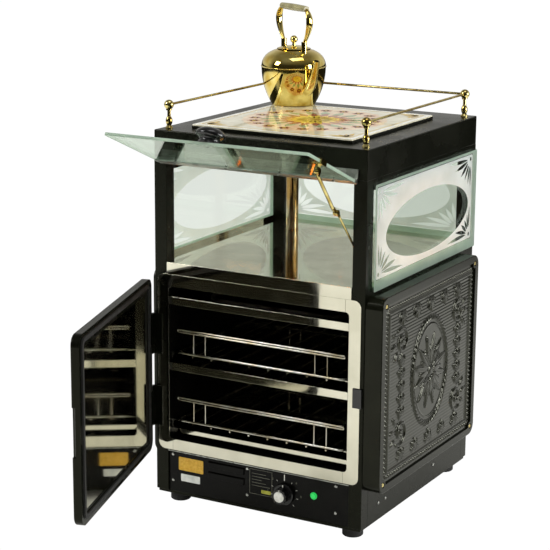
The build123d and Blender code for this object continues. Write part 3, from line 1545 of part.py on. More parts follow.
def main():
    os.makedirs("parts", exist_ok=True)
    save("base_tray", base_tray())
    save("feet", *feet())
    save("corner_posts", *corner_posts())
    save("frame_rails", *frame_rails())
    save("case_sheets", *side_sheets(), rear_panel())
    save("roof_box", roof_box())
    save("ceiling_panel", ceiling_panel())
    save("display_tray", display_tray())
    save("display_glasses", *both_sides(side_glass()), rear_glass())
    save("lamp_fitting", lamp_reflector(), *lamp_holders())
    save("lamp_bulb", lamp_bulb())
    save("oven_liner", oven_liner())
    save("oven_insulation", insulation())
    save("oven_deck", oven_deck())
    save("heating_elements", *heating_elements())
    save("door_surround", *door_surround())
    lip_reach = opening_half_width - seam
    save("oven_shelves", *[shelf(top, shelf_lip, front, lip_reach) for top in (divider_top, upper_baffle_top)])
    save("floor_plate", shelf(floor_plate_top, floor_lip, front + floor_plate_setback, liner_inner))
    save("rack_runners", *rack_runners())
    for node, level in rack_levels.items():
        save(node, *wire_rack(level))
    save("flue_pipe", flue_pipe())
    save("flue_collar", flue_collar())
    save("kettle_body", kettle_body())
    save("kettle_lid", kettle_lid())
    save("kettle_handle", *kettle_handle())
    save("kettle_grip", kettle_grip())
    save("top_board", top_board())
    save("picture_tile", picture_tile())
    save("gallery_posts", *gallery_posts())
    save("gallery_rails", *gallery_rails())
    for side in ("right", "left"):
        save(f"relief_panel_{side}", relief_panel(side))
    save("relief_screws", *relief_screws())
    save("control_panel", control_panel())
    save("thermostat", thermostat())
    save("thermostat_knob", thermostat_knob())
    save("knob_cap", knob_cap())
    save("neon_lamp", neon_lamp())
    save("case_screws", *case_screws())
    save("cable_gland", cable_gland())
    save("terminal_block", terminal_block())
    save("door_shell", swung(door_shell()))
    save("door_wool", swung(door_wool()))
    save("door_inner_panel", swung(door_inner_panel()))
    save("door_seal", swung(door_seal()))
    save("door_striker", swung(door_striker()))
    save("door_hinge_fixed", *door_hinge_fixed())
    save("door_hinge_moving", *[swung(leaf) for leaf in door_hinge_moving()])
    save("door_catch", door_catch())
    save("flap_glass", flap_glass())
    save("flap_hinge_moving", flap_hinge_moving())
    save("flap_hinge_fixed", flap_hinge_fixed())
    save("flap_bolts", *flap_bolts())
    save("flap_knob", flap_knob())
    save("stay_bracket", stay_bracket())
    save("stay_tube", stay_tube())
    save("stay_rod", stay_rod())
    save("stay_post_plate", stay_post_plate())


main()
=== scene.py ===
import bpy
import bmesh
import math
import numpy as np
from mathutils import Matrix, Vector


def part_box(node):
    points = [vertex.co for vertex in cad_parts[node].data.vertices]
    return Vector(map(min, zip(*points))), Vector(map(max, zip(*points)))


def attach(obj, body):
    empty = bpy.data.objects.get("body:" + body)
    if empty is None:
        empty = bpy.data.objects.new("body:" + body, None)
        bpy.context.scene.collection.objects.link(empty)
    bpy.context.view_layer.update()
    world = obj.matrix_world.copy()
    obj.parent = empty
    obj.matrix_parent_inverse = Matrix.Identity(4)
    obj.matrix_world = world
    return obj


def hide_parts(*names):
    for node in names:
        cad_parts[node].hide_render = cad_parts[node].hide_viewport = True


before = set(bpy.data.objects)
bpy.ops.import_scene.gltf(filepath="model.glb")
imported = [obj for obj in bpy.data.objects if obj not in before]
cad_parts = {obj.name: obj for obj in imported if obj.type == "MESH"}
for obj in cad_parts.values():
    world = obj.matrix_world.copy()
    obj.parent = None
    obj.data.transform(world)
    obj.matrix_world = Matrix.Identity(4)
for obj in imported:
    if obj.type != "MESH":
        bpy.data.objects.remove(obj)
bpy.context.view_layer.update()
mm = 0.001
print("frame loaded:", len(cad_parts), "nodes")


def linearColour(hexText):
    # sRGB hex to the linear values that shader sockets take
    parts = [int(hexText[i:i + 2], 16) / 255 for i in (1, 3, 5)]
    return [c / 12.92 if c <= 0.04045 else ((c + 0.055) / 1.055) ** 2.4 for c in parts] + [1.0]


def addNode(tree, kind, settings=None, links=None):
    # One node, its settings (a socket by name or number, else a property) and the sockets that feed it
    node = tree.nodes.new("ShaderNode" + kind)
    for key, value in (settings or {}).items():
        if isinstance(key, int) or (key in node.inputs and not hasattr(node, key)):
            node.inputs[key].default_value = value
        else:
            setattr(node, key, value)
    for key, source in (links or {}).items():
        tree.links.new(source, node.inputs[key])
    return node


def startMaterial(name, colour, roughness, metallic=0.0, ior=1.5, **sockets):
    material = bpy.data.materials.new(name)
    material.use_nodes = True
    tree = material.node_tree
    shader = tree.nodes["Principled BSDF"]
    shader.inputs["Base Color"].default_value = linearColour(colour)
    shader.inputs["Roughness"].default_value = roughness
    shader.inputs["Metallic"].default_value = metallic
    shader.inputs["IOR"].default_value = ior
    for key, value in sockets.items():
        shader.inputs[key.replace("_", " ")].default_value = value
    return material, tree, shader


def mottle(tree, shader, scaleMm, low, high, detail=3.0):
    # Roughness that wanders between two values, as handling and cleaning leave it
    place = addNode(tree, "TexCoord")
    noise = addNode(tree, "TexNoise", {"Scale": 1000 / scaleMm, "Detail": detail},
                    {"Vector": place.outputs["Object"]})
    spread = addNode(tree, "MapRange", {"From Min": 0.3, "From Max": 0.7, "To Min": low, "To Max": high},
                     {"Value": noise.outputs[0]})
    tree.links.new(spread.outputs[0], shader.inputs["Roughness"])
    return place, noise


def tint(tree, shader, factor, colourA, colourB):
    # Base colour that runs between two close colours by a factor
    ramp = addNode(tree, "ValToRGB", {}, {0: factor})
    first, last = ramp.color_ramp.elements
    first.position, last.position = 0.35, 0.65
    first.color, last.color = linearColour(colourA), linearColour(colourB)
    tree.links.new(ramp.outputs[0], shader.inputs["Base Color"])
    return ramp


def roughen(tree, shader, place, scaleMm, heightMm, strength, stretch=None):
    # Bump from a noise of a real grain size; stretch draws the grain out along an axis
    source = place.outputs["Object"]
    if stretch:
        source = addNode(tree, "Mapping", {"Scale": stretch}, {"Vector": source}).outputs[0]
    grain = addNode(tree, "TexNoise", {"Scale": 1000 / scaleMm, "Detail": 2.0}, {"Vector": source})
    bump = addNode(tree, "Bump", {"Strength": strength, "Distance": heightMm * mm},
                   {"Height": grain.outputs[0]})
    tree.links.new(bump.outputs[0], shader.inputs["Normal"])


def cloudedFinish(name, look, roughness, metallic=0.0, base="light", **sockets):
    # Tone and gloss drift in clouds of a real size. A grain is its size and its height in millimetres,
    # its strength, and its stretch along each axis where it is drawn out
    material, tree, shader = startMaterial(name, look[base], roughness, metallic, **sockets)
    place, noise = mottle(tree, shader, look["cloudMm"], *look["gloss"], look.get("detail", 3.0))
    tint(tree, shader, noise.outputs[0], look["dark"], look["light"])
    if "grain" in look:
        roughen(tree, shader, place, *look["grain"])
    return material


def stovedEnamel():
    # Black stoved enamel on folded sheet: near-black with an olive cast, a soft sheen and faint orange peel
    look = {"dark": "#060704", "light": "#0b0c07", "cloudMm": 90, "gloss": (0.2, 0.32),
            "grain": (3.5, 0.03, 0.2)}
    return cloudedFinish("stovedEnamelBlack", look, 0.24, base="dark", Specular_IOR_Level=0.16,
                         Specular_Tint=linearColour("#eef0d6"))


def vitreousEnamel():
    # Black vitreous enamel, fired on: deeper and glossier than stoved paint, for the oven lining
    look = {"dark": "#050504", "light": "#0a0a08", "cloudMm": 120, "gloss": (0.1, 0.2),
            "grain": (14, 0.02, 0.2)}
    return cloudedFinish("vitreousEnamelBlack", look, 0.14, base="dark", Specular_IOR_Level=0.2)


def printedPanel():
    # Gloss black control panel: screen-printed ink over enamel, flatter and a little dustier than the posts
    look = {"dark": "#060605", "light": "#0c0c0a", "cloudMm": 30, "gloss": (0.14, 0.27),
            "grain": (5.0, 0.02, 0.15)}
    return cloudedFinish("glossPanelBlack", look, 0.18, base="dark", Specular_IOR_Level=0.12)


def mirrorSteel():
    # Polished stainless sheet: a warm mirror with the faint drag lines of the buffing wheel
    look = {"dark": "#c8c5b3", "light": "#d6d3c2", "cloudMm": 60, "gloss": (0.035, 0.09),
            "grain": (0.6, 0.004, 0.1, (0.02, 1.0, 1.0))}
    return cloudedFinish("polishedStainless", look, 0.06, 1.0)


def flueSteel():
    # Flue tube of rolled stainless: warm from heat, with a soft stripe along its length
    look = {"dark": "#a8844e", "light": "#cfc7b0", "cloudMm": 40, "gloss": (0.1, 0.22),
            "grain": (0.8, 0.006, 0.2, (1.0, 1.0, 0.05))}
    return cloudedFinish("heatTintedStainless", look, 0.16, 1.0)


def galvanisedSheet():
    # Zinc-coated sheet: dull grey with the cloudy spangle of galvanising
    look = {"dark": "#83857f", "light": "#a2a49d", "spangleMm": 14, "gloss": (0.32, 0.5)}
    material, tree, shader = startMaterial("galvanisedSheet", look["light"], 0.4, metallic=1.0)
    place = addNode(tree, "TexCoord")
    cells = addNode(tree, "TexVoronoi", {"Scale": 1000 / look["spangleMm"]},
                    {"Vector": place.outputs["Object"]})
    grey = addNode(tree, "SeparateColor", {}, {0: cells.outputs["Color"]})
    tint(tree, shader, grey.outputs[0], look["dark"], look["light"])
    low, high = look["gloss"]
    spread = addNode(tree, "MapRange", {"To Min": low, "To Max": high}, {"Value": grey.outputs[1]})
    tree.links.new(spread.outputs[0], shader.inputs["Roughness"])
    return material


def lacqueredBrass(name, bright, worn, low, high):
    # Polished brass under lacquer: greenish yellow, browner where old polish stays in the hollows
    look = {"dark": worn, "light": bright, "cloudMm": 25, "gloss": (low, high), "grain": (16, 0.1, 0.12)}
    return cloudedFinish(name, look, low, 1.0)


def chromedWire():
    # Bright chromed steel wire, browned a little by the oven's heat
    look = {"dark": "#b9ad92", "light": "#dcdbd2", "cloudMm": 30, "gloss": (0.1, 0.26)}
    return cloudedFinish("chromedWire", look, 0.16, 1.0)


def clearGlass(name, body, glossShare):
    # Toughened float glass: a faint green body and sharp reflections that grow with the slant of the view;
    # lamps shine through it
    look = {"gloss": "#f4faf5", "roughness": 0.02, "faceOn": 0.04}
    material, tree, shader = startMaterial(name, body, 0.0)
    tree.nodes.remove(shader)
    through = addNode(tree, "BsdfTransparent", {"Color": linearColour(body)})
    gloss = addNode(tree, "BsdfGlossy",
                    {"Roughness": look["roughness"], "Color": linearColour(look["gloss"])})
    slant = addNode(tree, "LayerWeight", {"Blend": 0.5})
    steep = addNode(tree, "Math", {"operation": "POWER", 1: 5.0}, {0: slant.outputs["Facing"]})
    share = addNode(tree, "MapRange",
                    {"To Min": look["faceOn"] * glossShare, "To Max": min(1.0, glossShare)},
                    {"Value": steep.outputs[0]})
    mix = addNode(tree, "MixShader", {}, {0: share.outputs[0], 1: through.outputs[0], 2: gloss.outputs[0]})
    tree.links.new(mix.outputs[0], tree.nodes["Material Output"].inputs["Surface"])
    return material


def etchedGlass(name, light, shade, grainMm):
    # Acid-etched face of the display glass: milky, faintly green, it glows with the light behind it
    look = {"cloudMm": 45, "gloss": (0.38, 0.55), "grain": (0.02, 0.25), "glowShare": 0.8}
    material, tree, shader = startMaterial(name, light, 0.5, Specular_IOR_Level=0.35)
    place, noise = mottle(tree, shader, look["cloudMm"], *look["gloss"])
    ramp = tint(tree, shader, noise.outputs[0], shade, light)
    roughen(tree, shader, place, grainMm, *look["grain"])
    glow = addNode(tree, "BsdfTranslucent", {}, {"Color": ramp.outputs[0]})
    mix = addNode(tree, "MixShader", {0: look["glowShare"]}, {1: shader.outputs[0], 2: glow.outputs[0]})
    tree.links.new(mix.outputs[0], tree.nodes["Material Output"].inputs["Surface"])
    return material


def lacqueredRelief(name, specular):
    # Black lacquer over a moulding: glossy on the pressed ornament, where highlights slide along every
    # raised edge, and flatter on the plain walls of the tray
    look = {"dark": "#080905", "light": "#0f100a", "cloudMm": 40, "gloss": (0.09, 0.18),
            "grain": (2.4, 0.03, 0.2)}
    return cloudedFinish(name, look, 0.12, base="dark", Specular_IOR_Level=specular,
                         Specular_Tint=linearColour("#f0f1dc"))


def phenolic():
    # Black phenolic moulding: glossy with a slightly hazy skin
    look = {"dark": "#0a0a0b", "light": "#131314", "cloudMm": 12, "gloss": (0.14, 0.26)}
    return cloudedFinish("blackPhenolic", look, 0.2, base="dark", ior=1.55)


def mouldedRubber():
    # Moulded rubber: matt, dark grey, dusty in its pores
    look = {"dark": "#101010", "light": "#1b1b1a", "cloudMm": 10, "gloss": (0.6, 0.85),
            "grain": (0.9, 0.05, 0.5)}
    return cloudedFinish("mouldedRubber", look, 0.7, base="dark")


def mineralWool():
    # Pressed mineral wool: straw-coloured felt with loose fibres
    look = {"dark": "#8d7f55", "light": "#c2b27e", "cloudMm": 6, "gloss": (0.88, 1.0), "detail": 6.0,
            "grain": (1.5, 0.5, 0.8)}
    return cloudedFinish("mineralWool", look, 0.95, ior=1.45)


def elementSheath():
    # Heat-blued tube of a heating element: dull, brown to straw to grey along its length
    look = {"dark": "#3b322c", "light": "#6d6a66", "cloudMm": 35, "gloss": (0.35, 0.55)}
    return cloudedFinish("heatBluedTube", look, 0.42, 0.9)


def lampTube():
    # Incandescent tube lamp: warm glowing glass, palest where it faces the eye and deeper at its sides
    look = {"side": "#ff9a3c", "middle": "#ffd08a", "strength": 9.0}
    material, tree, shader = startMaterial("warmLampGlass", look["middle"], 0.3)
    shader.inputs["Emission Strength"].default_value = look["strength"]
    slant = addNode(tree, "LayerWeight", {"Blend": 0.4})
    ramp = addNode(tree, "ValToRGB", {}, {0: slant.outputs["Facing"]})
    ramp.color_ramp.elements[0].color = linearColour(look["middle"])
    ramp.color_ramp.elements[1].color = linearColour(look["side"])
    tree.links.new(ramp.outputs[0], shader.inputs["Emission Color"])
    return material


def glazedCeramic(name, dark, light, coat=0.0):
    # Glazed ceramic: glossy, with a slightly uneven glaze
    look = {"dark": dark, "light": light, "cloudMm": 20, "gloss": (0.08, 0.2), "grain": (12, 0.03, 0.15)}
    return cloudedFinish(name, look, 0.14, Coat_Weight=coat)


def greenLens():
    # Green neon lens: a glowing moulded acrylic dome, brighter at its middle
    look = {"colour": "#1f9a45", "glow": "#2fd060", "middle": 0.7, "rim": 0.1}
    material, tree, shader = startMaterial("greenAcrylicLens", look["colour"], 0.12, ior=1.49)
    shader.inputs["Emission Color"].default_value = linearColour(look["glow"])
    slant = addNode(tree, "LayerWeight", {"Blend": 0.5})
    spread = addNode(tree, "MapRange", {"To Min": look["middle"], "To Max": look["rim"]},
                     {"Value": slant.outputs["Facing"]})
    tree.links.new(spread.outputs[0], shader.inputs["Emission Strength"])
    return material


def satinAluminium():
    # Spun and lacquered aluminium cap: nearly white, with a soft highlight
    look = {"dark": "#dcdcd6", "light": "#f2f2ee", "cloudMm": 8, "gloss": (0.28, 0.42)}
    return cloudedFinish("satinAluminium", look, 0.35, 0.55)


def platedSteel():
    # Zinc-plated screw heads and bolts: bright with a blue-grey cast
    look = {"dark": "#979893", "light": "#c9cac6", "cloudMm": 4, "gloss": (0.18, 0.34)}
    return cloudedFinish("zincPlatedSteel", look, 0.24, 1.0)


def naturalNylon():
    # Natural nylon: milky and waxy
    look = {"dark": "#cfcab8", "light": "#dedacb", "cloudMm": 10, "gloss": (0.4, 0.55)}
    return cloudedFinish("naturalNylon", look, 0.45, ior=1.53)


def printInk(name, dark, light, cloudMm=14.0, gloss=(0.12, 0.24)):
    # Screen-printed or fired ink: an even colour with a slightly thin, cloudy lay-down
    look = {"dark": dark, "light": light, "cloudMm": cloudMm, "gloss": gloss, "detail": 5.0}
    return cloudedFinish(name, look, 0.16)


ornamentLacquer = lacqueredRelief("glossLacquer", 0.42)
finishes = [
    (stovedEnamel(), ["base_tray", "corner_posts", "frame_rails", "case_sheets", "roof_box", "top_board",
                      "door_shell", "door_hinge_fixed", "door_hinge_moving"]),
    (vitreousEnamel(), ["oven_liner"]),
    (printedPanel(), ["control_panel"]),
    (mirrorSteel(), ["door_surround", "display_tray", "ceiling_panel", "oven_shelves", "floor_plate",
                     "rack_runners", "door_inner_panel", "door_striker"]),
    (flueSteel(), ["flue_pipe"]),
    (galvanisedSheet(), ["oven_deck", "lamp_fitting", "thermostat", "flap_hinge_fixed", "flap_hinge_moving"]),
    (lacqueredBrass("lacqueredBrass", "#e0d08a", "#a98f49", 0.07, 0.15),
     ["gallery_posts", "gallery_rails", "relief_screws", "flue_collar", "stay_bracket", "stay_tube",
      "stay_rod", "stay_post_plate"]),
    (lacqueredBrass("spunBrass", "#f2df8c", "#d6b552", 0.03, 0.08),
     ["kettle_body", "kettle_lid", "kettle_handle"]),
    (chromedWire(), ["upper_rack", "lower_rack"]),
    (clearGlass("floatGlass", "#f4f7f3", 1.0), ["display_glasses"]),
    (clearGlass("flapGlass", "#dfe7e0", 1.5), ["flap_glass"]),
    (lacqueredRelief("satinLacquer", 0.2), ["relief_panel_right", "relief_panel_left"]),
    (phenolic(), ["flap_knob", "thermostat_knob", "cable_gland", "door_catch"]),
    (mouldedRubber(), ["feet", "door_seal"]),
    (mineralWool(), ["oven_insulation", "door_wool"]),
    (elementSheath(), ["heating_elements"]),
    (lampTube(), ["lamp_bulb"]),
    (glazedCeramic("creamGlazedTile", "#cfcab0", "#dfdbc5", 0.6), ["picture_tile"]),
    (glazedCeramic("ivoryGrip", "#746d4a", "#938c65"), ["kettle_grip"]),
    (greenLens(), ["neon_lamp"]),
    (satinAluminium(), ["knob_cap"]),
    (platedSteel(), ["case_screws", "flap_bolts"]),
    (naturalNylon(), ["terminal_block"]),
]
for material, nodeNames in finishes:
    for nodeName in nodeNames:
        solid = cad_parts[nodeName]
        solid.data.materials.clear()
        solid.data.materials.append(material)
dressed = [nodeName for _, nodeNames in finishes for nodeName in nodeNames]
print("materials on", len(dressed), "nodes; bare:", [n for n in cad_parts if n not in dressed])


def softenEdges(nodeNames, radiusMm):
    # Folded and pressed sheet has no knife edges: a small round on every sharp edge catches the light
    look = {"weldMm": 0.02, "sharpFrom": 40, "segments": 2}
    for nodeName in nodeNames:
        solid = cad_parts[nodeName]
        weld = solid.modifiers.new("weld", "WELD")
        weld.merge_threshold = look["weldMm"] * mm
        bevel = solid.modifiers.new("edgeRadius", "BEVEL")
        bevel.width = radiusMm * mm
        bevel.segments = look["segments"]
        bevel.limit_method = "ANGLE"
        bevel.angle_limit = math.radians(look["sharpFrom"])
        bevel.harden_normals = True


softenEdges(["corner_posts", "roof_box", "base_tray", "top_board"], 0.9)
softenEdges(["door_surround", "display_tray", "oven_shelves", "floor_plate"], 0.35)
print("edges rounded")

# Below 1, fullness puts a leaf's widest place on the stem's side of its middle; the rest shape a raised one
leafForm = {"fullness": 0.8, "crown": 0.6, "veinDepth": 0.35, "veinHalfWidth": 0.9}


def onward(x, y, reach, angle):
    # The point that lies a reach away from x, y, along an angle in degrees
    return x + reach * math.cos(math.radians(angle)), y + reach * math.sin(math.radians(angle))


def roundedBox(left, bottom, right, top, radius, steps=6):
    # Closed loop of a rectangle with round corners
    loop = []
    for (x, y), start in (((right - radius, bottom + radius), -90), ((right - radius, top - radius), 0),
                          ((left + radius, top - radius), 90), ((left + radius, bottom + radius), 180)):
        for k in range(steps + 1):
            loop.append(onward(x, y, radius, start + 90 * k / steps))
    return loop


def oval(x, y, halfWidth, halfHeight, count=64):
    # Closed loop of an ellipse
    loop = []
    for k in range(count):
        angle = 2 * math.pi * k / count
        loop.append((x + halfWidth * math.cos(angle), y + halfHeight * math.sin(angle)))
    return loop


def leaf(x, y, angle, length, width, bend=0.0, count=10):
    # Pointed leaf that starts at x, y and grows along an angle in degrees; bend curls its tip sideways
    a = math.radians(angle)
    sides = []
    for side in (1, -1):
        edge = []
        for k in range(count + 1):
            t = k / count
            across = side * width / 2 * math.sin(math.pi * t ** leafForm["fullness"]) + bend * length * t * t
            edge.append((x + length * t * math.cos(a) - across * math.sin(a),
                         y + length * t * math.sin(a) + across * math.cos(a)))
        sides.append(edge)
    return sides[0] + sides[1][-2:0:-1]


def mirroredAngle(angle, sideways, upward):
    # An angle in degrees, mirrored left to right and top to bottom by two signs
    a = math.radians(angle)
    return math.degrees(math.atan2(upward * math.sin(a), sideways * math.cos(a)))


def boxInMm(nodeName):
    # Lowest and highest corner of a node
    return [Vector(corner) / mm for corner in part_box(nodeName)]


def facing(origin, across, up):
    # Matrix from a flat drawing in millimetres to its place on the object, in metres
    across, up = Vector(across), Vector(up)
    turn = Matrix((across, up, across.cross(up))).transposed().to_4x4()
    return Matrix.Translation(Vector(origin) * mm) @ turn @ Matrix.Diagonal((mm, mm, mm, 1))


def addObject(name, data):
    # New object in the scene
    thing = bpy.data.objects.new(name, data)
    bpy.context.scene.collection.objects.link(thing)
    return thing


def addPiece(name, mesh, materials, body):
    # Turns a finished mesh into a piece that moves with its body
    data = bpy.data.meshes.new(name)
    for material in materials:
        data.materials.append(material)
    mesh.to_mesh(data)
    mesh.free()
    piece = addObject(name, data)
    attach(piece, body)
    return piece


def meshFromCurve(name, curve, location=(0, 0, 0)):
    # Mesh of a drawing or a number, and where it stands
    holder = addObject(name, curve)
    holder.location = location
    bpy.context.view_layer.update()
    cut = bpy.data.meshes.new_from_object(holder.evaluated_get(bpy.context.evaluated_depsgraph_get()))
    stand = holder.matrix_world.copy()
    bpy.data.objects.remove(holder)
    return cut, stand


def flatPiece(name, layers, thickness, place, body):
    # Thin solid cut from closed loops; a loop inside another is a hole, and each layer has its own material
    joined = bmesh.new()
    for index, (material, loops) in enumerate(layers):
        drawing = bpy.data.curves.new(name + "Drawing", "CURVE")
        drawing.dimensions = "2D"
        drawing.fill_mode = "BOTH"
        drawing.extrude = thickness / 2
        for loop in loops:
            spline = drawing.splines.new("POLY")
            spline.points.add(len(loop) - 1)
            for point, (x, y) in zip(spline.points, loop):
                point.co = (x, y, 0, 1)
            spline.use_cyclic_u = True
        cut = meshFromCurve(name + "Drawing", drawing)[0]
        for face in cut.polygons:
            face.material_index = index
        joined.from_mesh(cut)
    bmesh.ops.remove_doubles(joined, verts=joined.verts, dist=0.001)
    joined.transform(place @ Matrix.Translation((0, 0, thickness / 2)))
    bmesh.ops.recalc_face_normals(joined, faces=joined.faces)
    return addPiece(name, joined, [material for material, loops in layers], body)


def stackedPiece(name, material, loops, thickness, place, body):
    # Many small closed shapes that may overlap: each is its own thin prism
    mesh = bmesh.new()
    for loop in loops:
        low = [mesh.verts.new(place @ Vector((x, y, 0))) for x, y in loop]
        high = [mesh.verts.new(place @ Vector((x, y, thickness))) for x, y in loop]
        mesh.faces.new(high)
        mesh.faces.new(low[::-1])
        for k in range(len(loop)):
            n = (k + 1) % len(loop)
            mesh.faces.new([low[k], low[n], high[n], high[k]])
    bmesh.ops.recalc_face_normals(mesh, faces=mesh.faces)
    return addPiece(name, mesh, [material], body)


def etchedPane(name, place, length, height, look):
    # Frosted sheet of one pane: a clear oval, a groove along the border and leaf sprays at the corners
    left, right, bottom, top = (look[k] for k in ("left", "right", "bottom", "top"))
    groove, corner, margin = look["groove"], look["corner"], look["margin"]
    inner = roundedBox(left, bottom, length - right, height - top, corner)
    field = roundedBox(left + groove, bottom + groove, length - right - groove, height - top - groove, corner)
    centre = ((left + length - right) / 2, (bottom + height - top) / 2)
    ovalX, ovalY = centre[0] + look["ovalShift"], centre[1] - look["ovalDrop"]
    halfWidth, halfHeight = (length - left - right) / 2 - look["ovalSide"], look["ovalHalfHeight"]
    loops = [field, oval(ovalX, ovalY, halfWidth, halfHeight, 96)]

    def crosses(x, y):
        room = look["ovalRoom"]
        return math.hypot((x - ovalX) / (halfWidth + room), (y - ovalY) / (halfHeight + room)) < 1

    for sideways in (-1, 1):
        for upward in (-1, 1):
            x = centre[0] + sideways * ((length - left - right) / 2 - look["sprayInset"])
            y = centre[1] + upward * ((height - top - bottom) / 2 - look["sprayInset"])
            for angle, reach, width, bend in look["spray"]:
                turned = mirroredAngle(angle, -sideways, -upward)
                start = onward(x, y, look["sprayStart"], turned)
                bow = bend * sideways * upward
                petal = leaf(*start, turned, reach, width, bow)
                while any(crosses(*point) for point in petal):
                    reach *= look["shorten"]
                    petal = leaf(*start, turned, reach, width, bow)
                loops.append(petal)
            loops.append(oval(x, y, look["eyeRadius"], look["eyeRadius"], 16))
    border = [roundedBox(margin, margin, length - margin, height - margin, corner), inner]
    return flatPiece(name, [(look["frost"], loops), (look["band"], border)], look["thickness"], place,
                     "cabinet")


def displayGlasses():
    look = {
        "frost": etchedGlass("acidEtchedGlass", "#f6f9fa", "#eef2f2", 1.2),
        "band": etchedGlass("etchedGreenBand", "#d2dfd5", "#c6d6cb", 1.2),
        "left": 7, "right": 22, "bottom": 21, "top": 6, "corner": 3, "groove": 1.3, "margin": 1,
        "ovalSide": 28, "ovalHalfHeight": 61, "ovalShift": 11, "ovalDrop": 12, "ovalRoom": 5,
        "thickness": 0.3, "gap": 0.15, "rearGlass": 5.5, "rearRoom": 6, "rearHalf": 219.0,
        "sprayInset": 10, "sprayStart": 13, "shorten": 0.92, "eyeRadius": 4.2,
        # each leaf of a corner spray: its angle, length, width and bend
        "spray": [(1, 92, 7.5, -0.05), (15, 64, 8, -0.08), (33, 44, 8.5, 0.0), (55, 36, 8.5, 0.0),
                  (74, 40, 7.5, 0.08), (89, 46, 6.5, 0.05)],
    }
    lo, hi = boxInMm("display_glasses")
    front, height = lo.y, hi.z - lo.z
    gap, rearHalf = look["gap"], look["rearHalf"]
    depth = hi.y - front - look["rearGlass"] - look["rearRoom"]
    mirrored = dict(look, left=look["right"], right=look["left"], ovalShift=-look["ovalShift"])
    even = dict(look, left=look["right"], ovalShift=0)
    upright = (0, 0, 1)
    etchedPane("etchedSheetRight", facing((hi.x + gap, front, lo.z), (0, 1, 0), upright), depth, height, look)
    etchedPane("etchedSheetLeft", facing((lo.x - gap, front + depth, lo.z), (0, -1, 0), upright), depth,
               height, mirrored)
    etchedPane("etchedSheetRear", facing((rearHalf, hi.y + gap, lo.z), (-1, 0, 0), upright), 2 * rearHalf,
               height, even)


displayGlasses()
print("etched sheets cut")


def ridge(distance, halfWidth, height):
    # Half-round bead: its height over a distance from its middle line
    return height * np.sqrt(np.clip(1 - (distance / halfWidth) ** 2, 0, 1))


def leafBump(u, v, x, y, angle, length, width, height):
    # Raised leaf with a midrib groove, grown from x, y along an angle in degrees
    a = math.radians(angle)
    along = ((u - x) * math.cos(a) + (v - y) * math.sin(a)) / length
    across = -(u - x) * math.sin(a) + (v - y) * math.cos(a)
    half = np.maximum(width / 2 * np.sin(math.pi * np.clip(along, 0, 1) ** leafForm["fullness"]), 0.01)
    body = height * np.clip(1 - (across / half) ** 2, 0, 1) ** leafForm["crown"]
    vein = leafForm["veinDepth"] * height * np.exp(-(across / leafForm["veinHalfWidth"]) ** 2)
    return np.where((along > 0) & (along < 1), np.clip(body - vein, 0, None), 0)


def scrollDistance(u, v, x, y, radius, sideways, upward, turns=1.35, eye=0.16, count=90):
    # Distance from each place to a spiral that starts at its eye, which is a share of its radius
    nearest = np.full(u.shape, 1e9)
    for k in range(count):
        t = k / (count - 1)
        angle = 2 * math.pi * turns * t
        reach = radius * (eye + (1 - eye) * t)
        px, py = x + sideways * reach * math.cos(angle), y + upward * reach * math.sin(angle)
        nearest = np.minimum(nearest, (u - px) ** 2 + (v - py) ** 2)
    return np.sqrt(nearest)


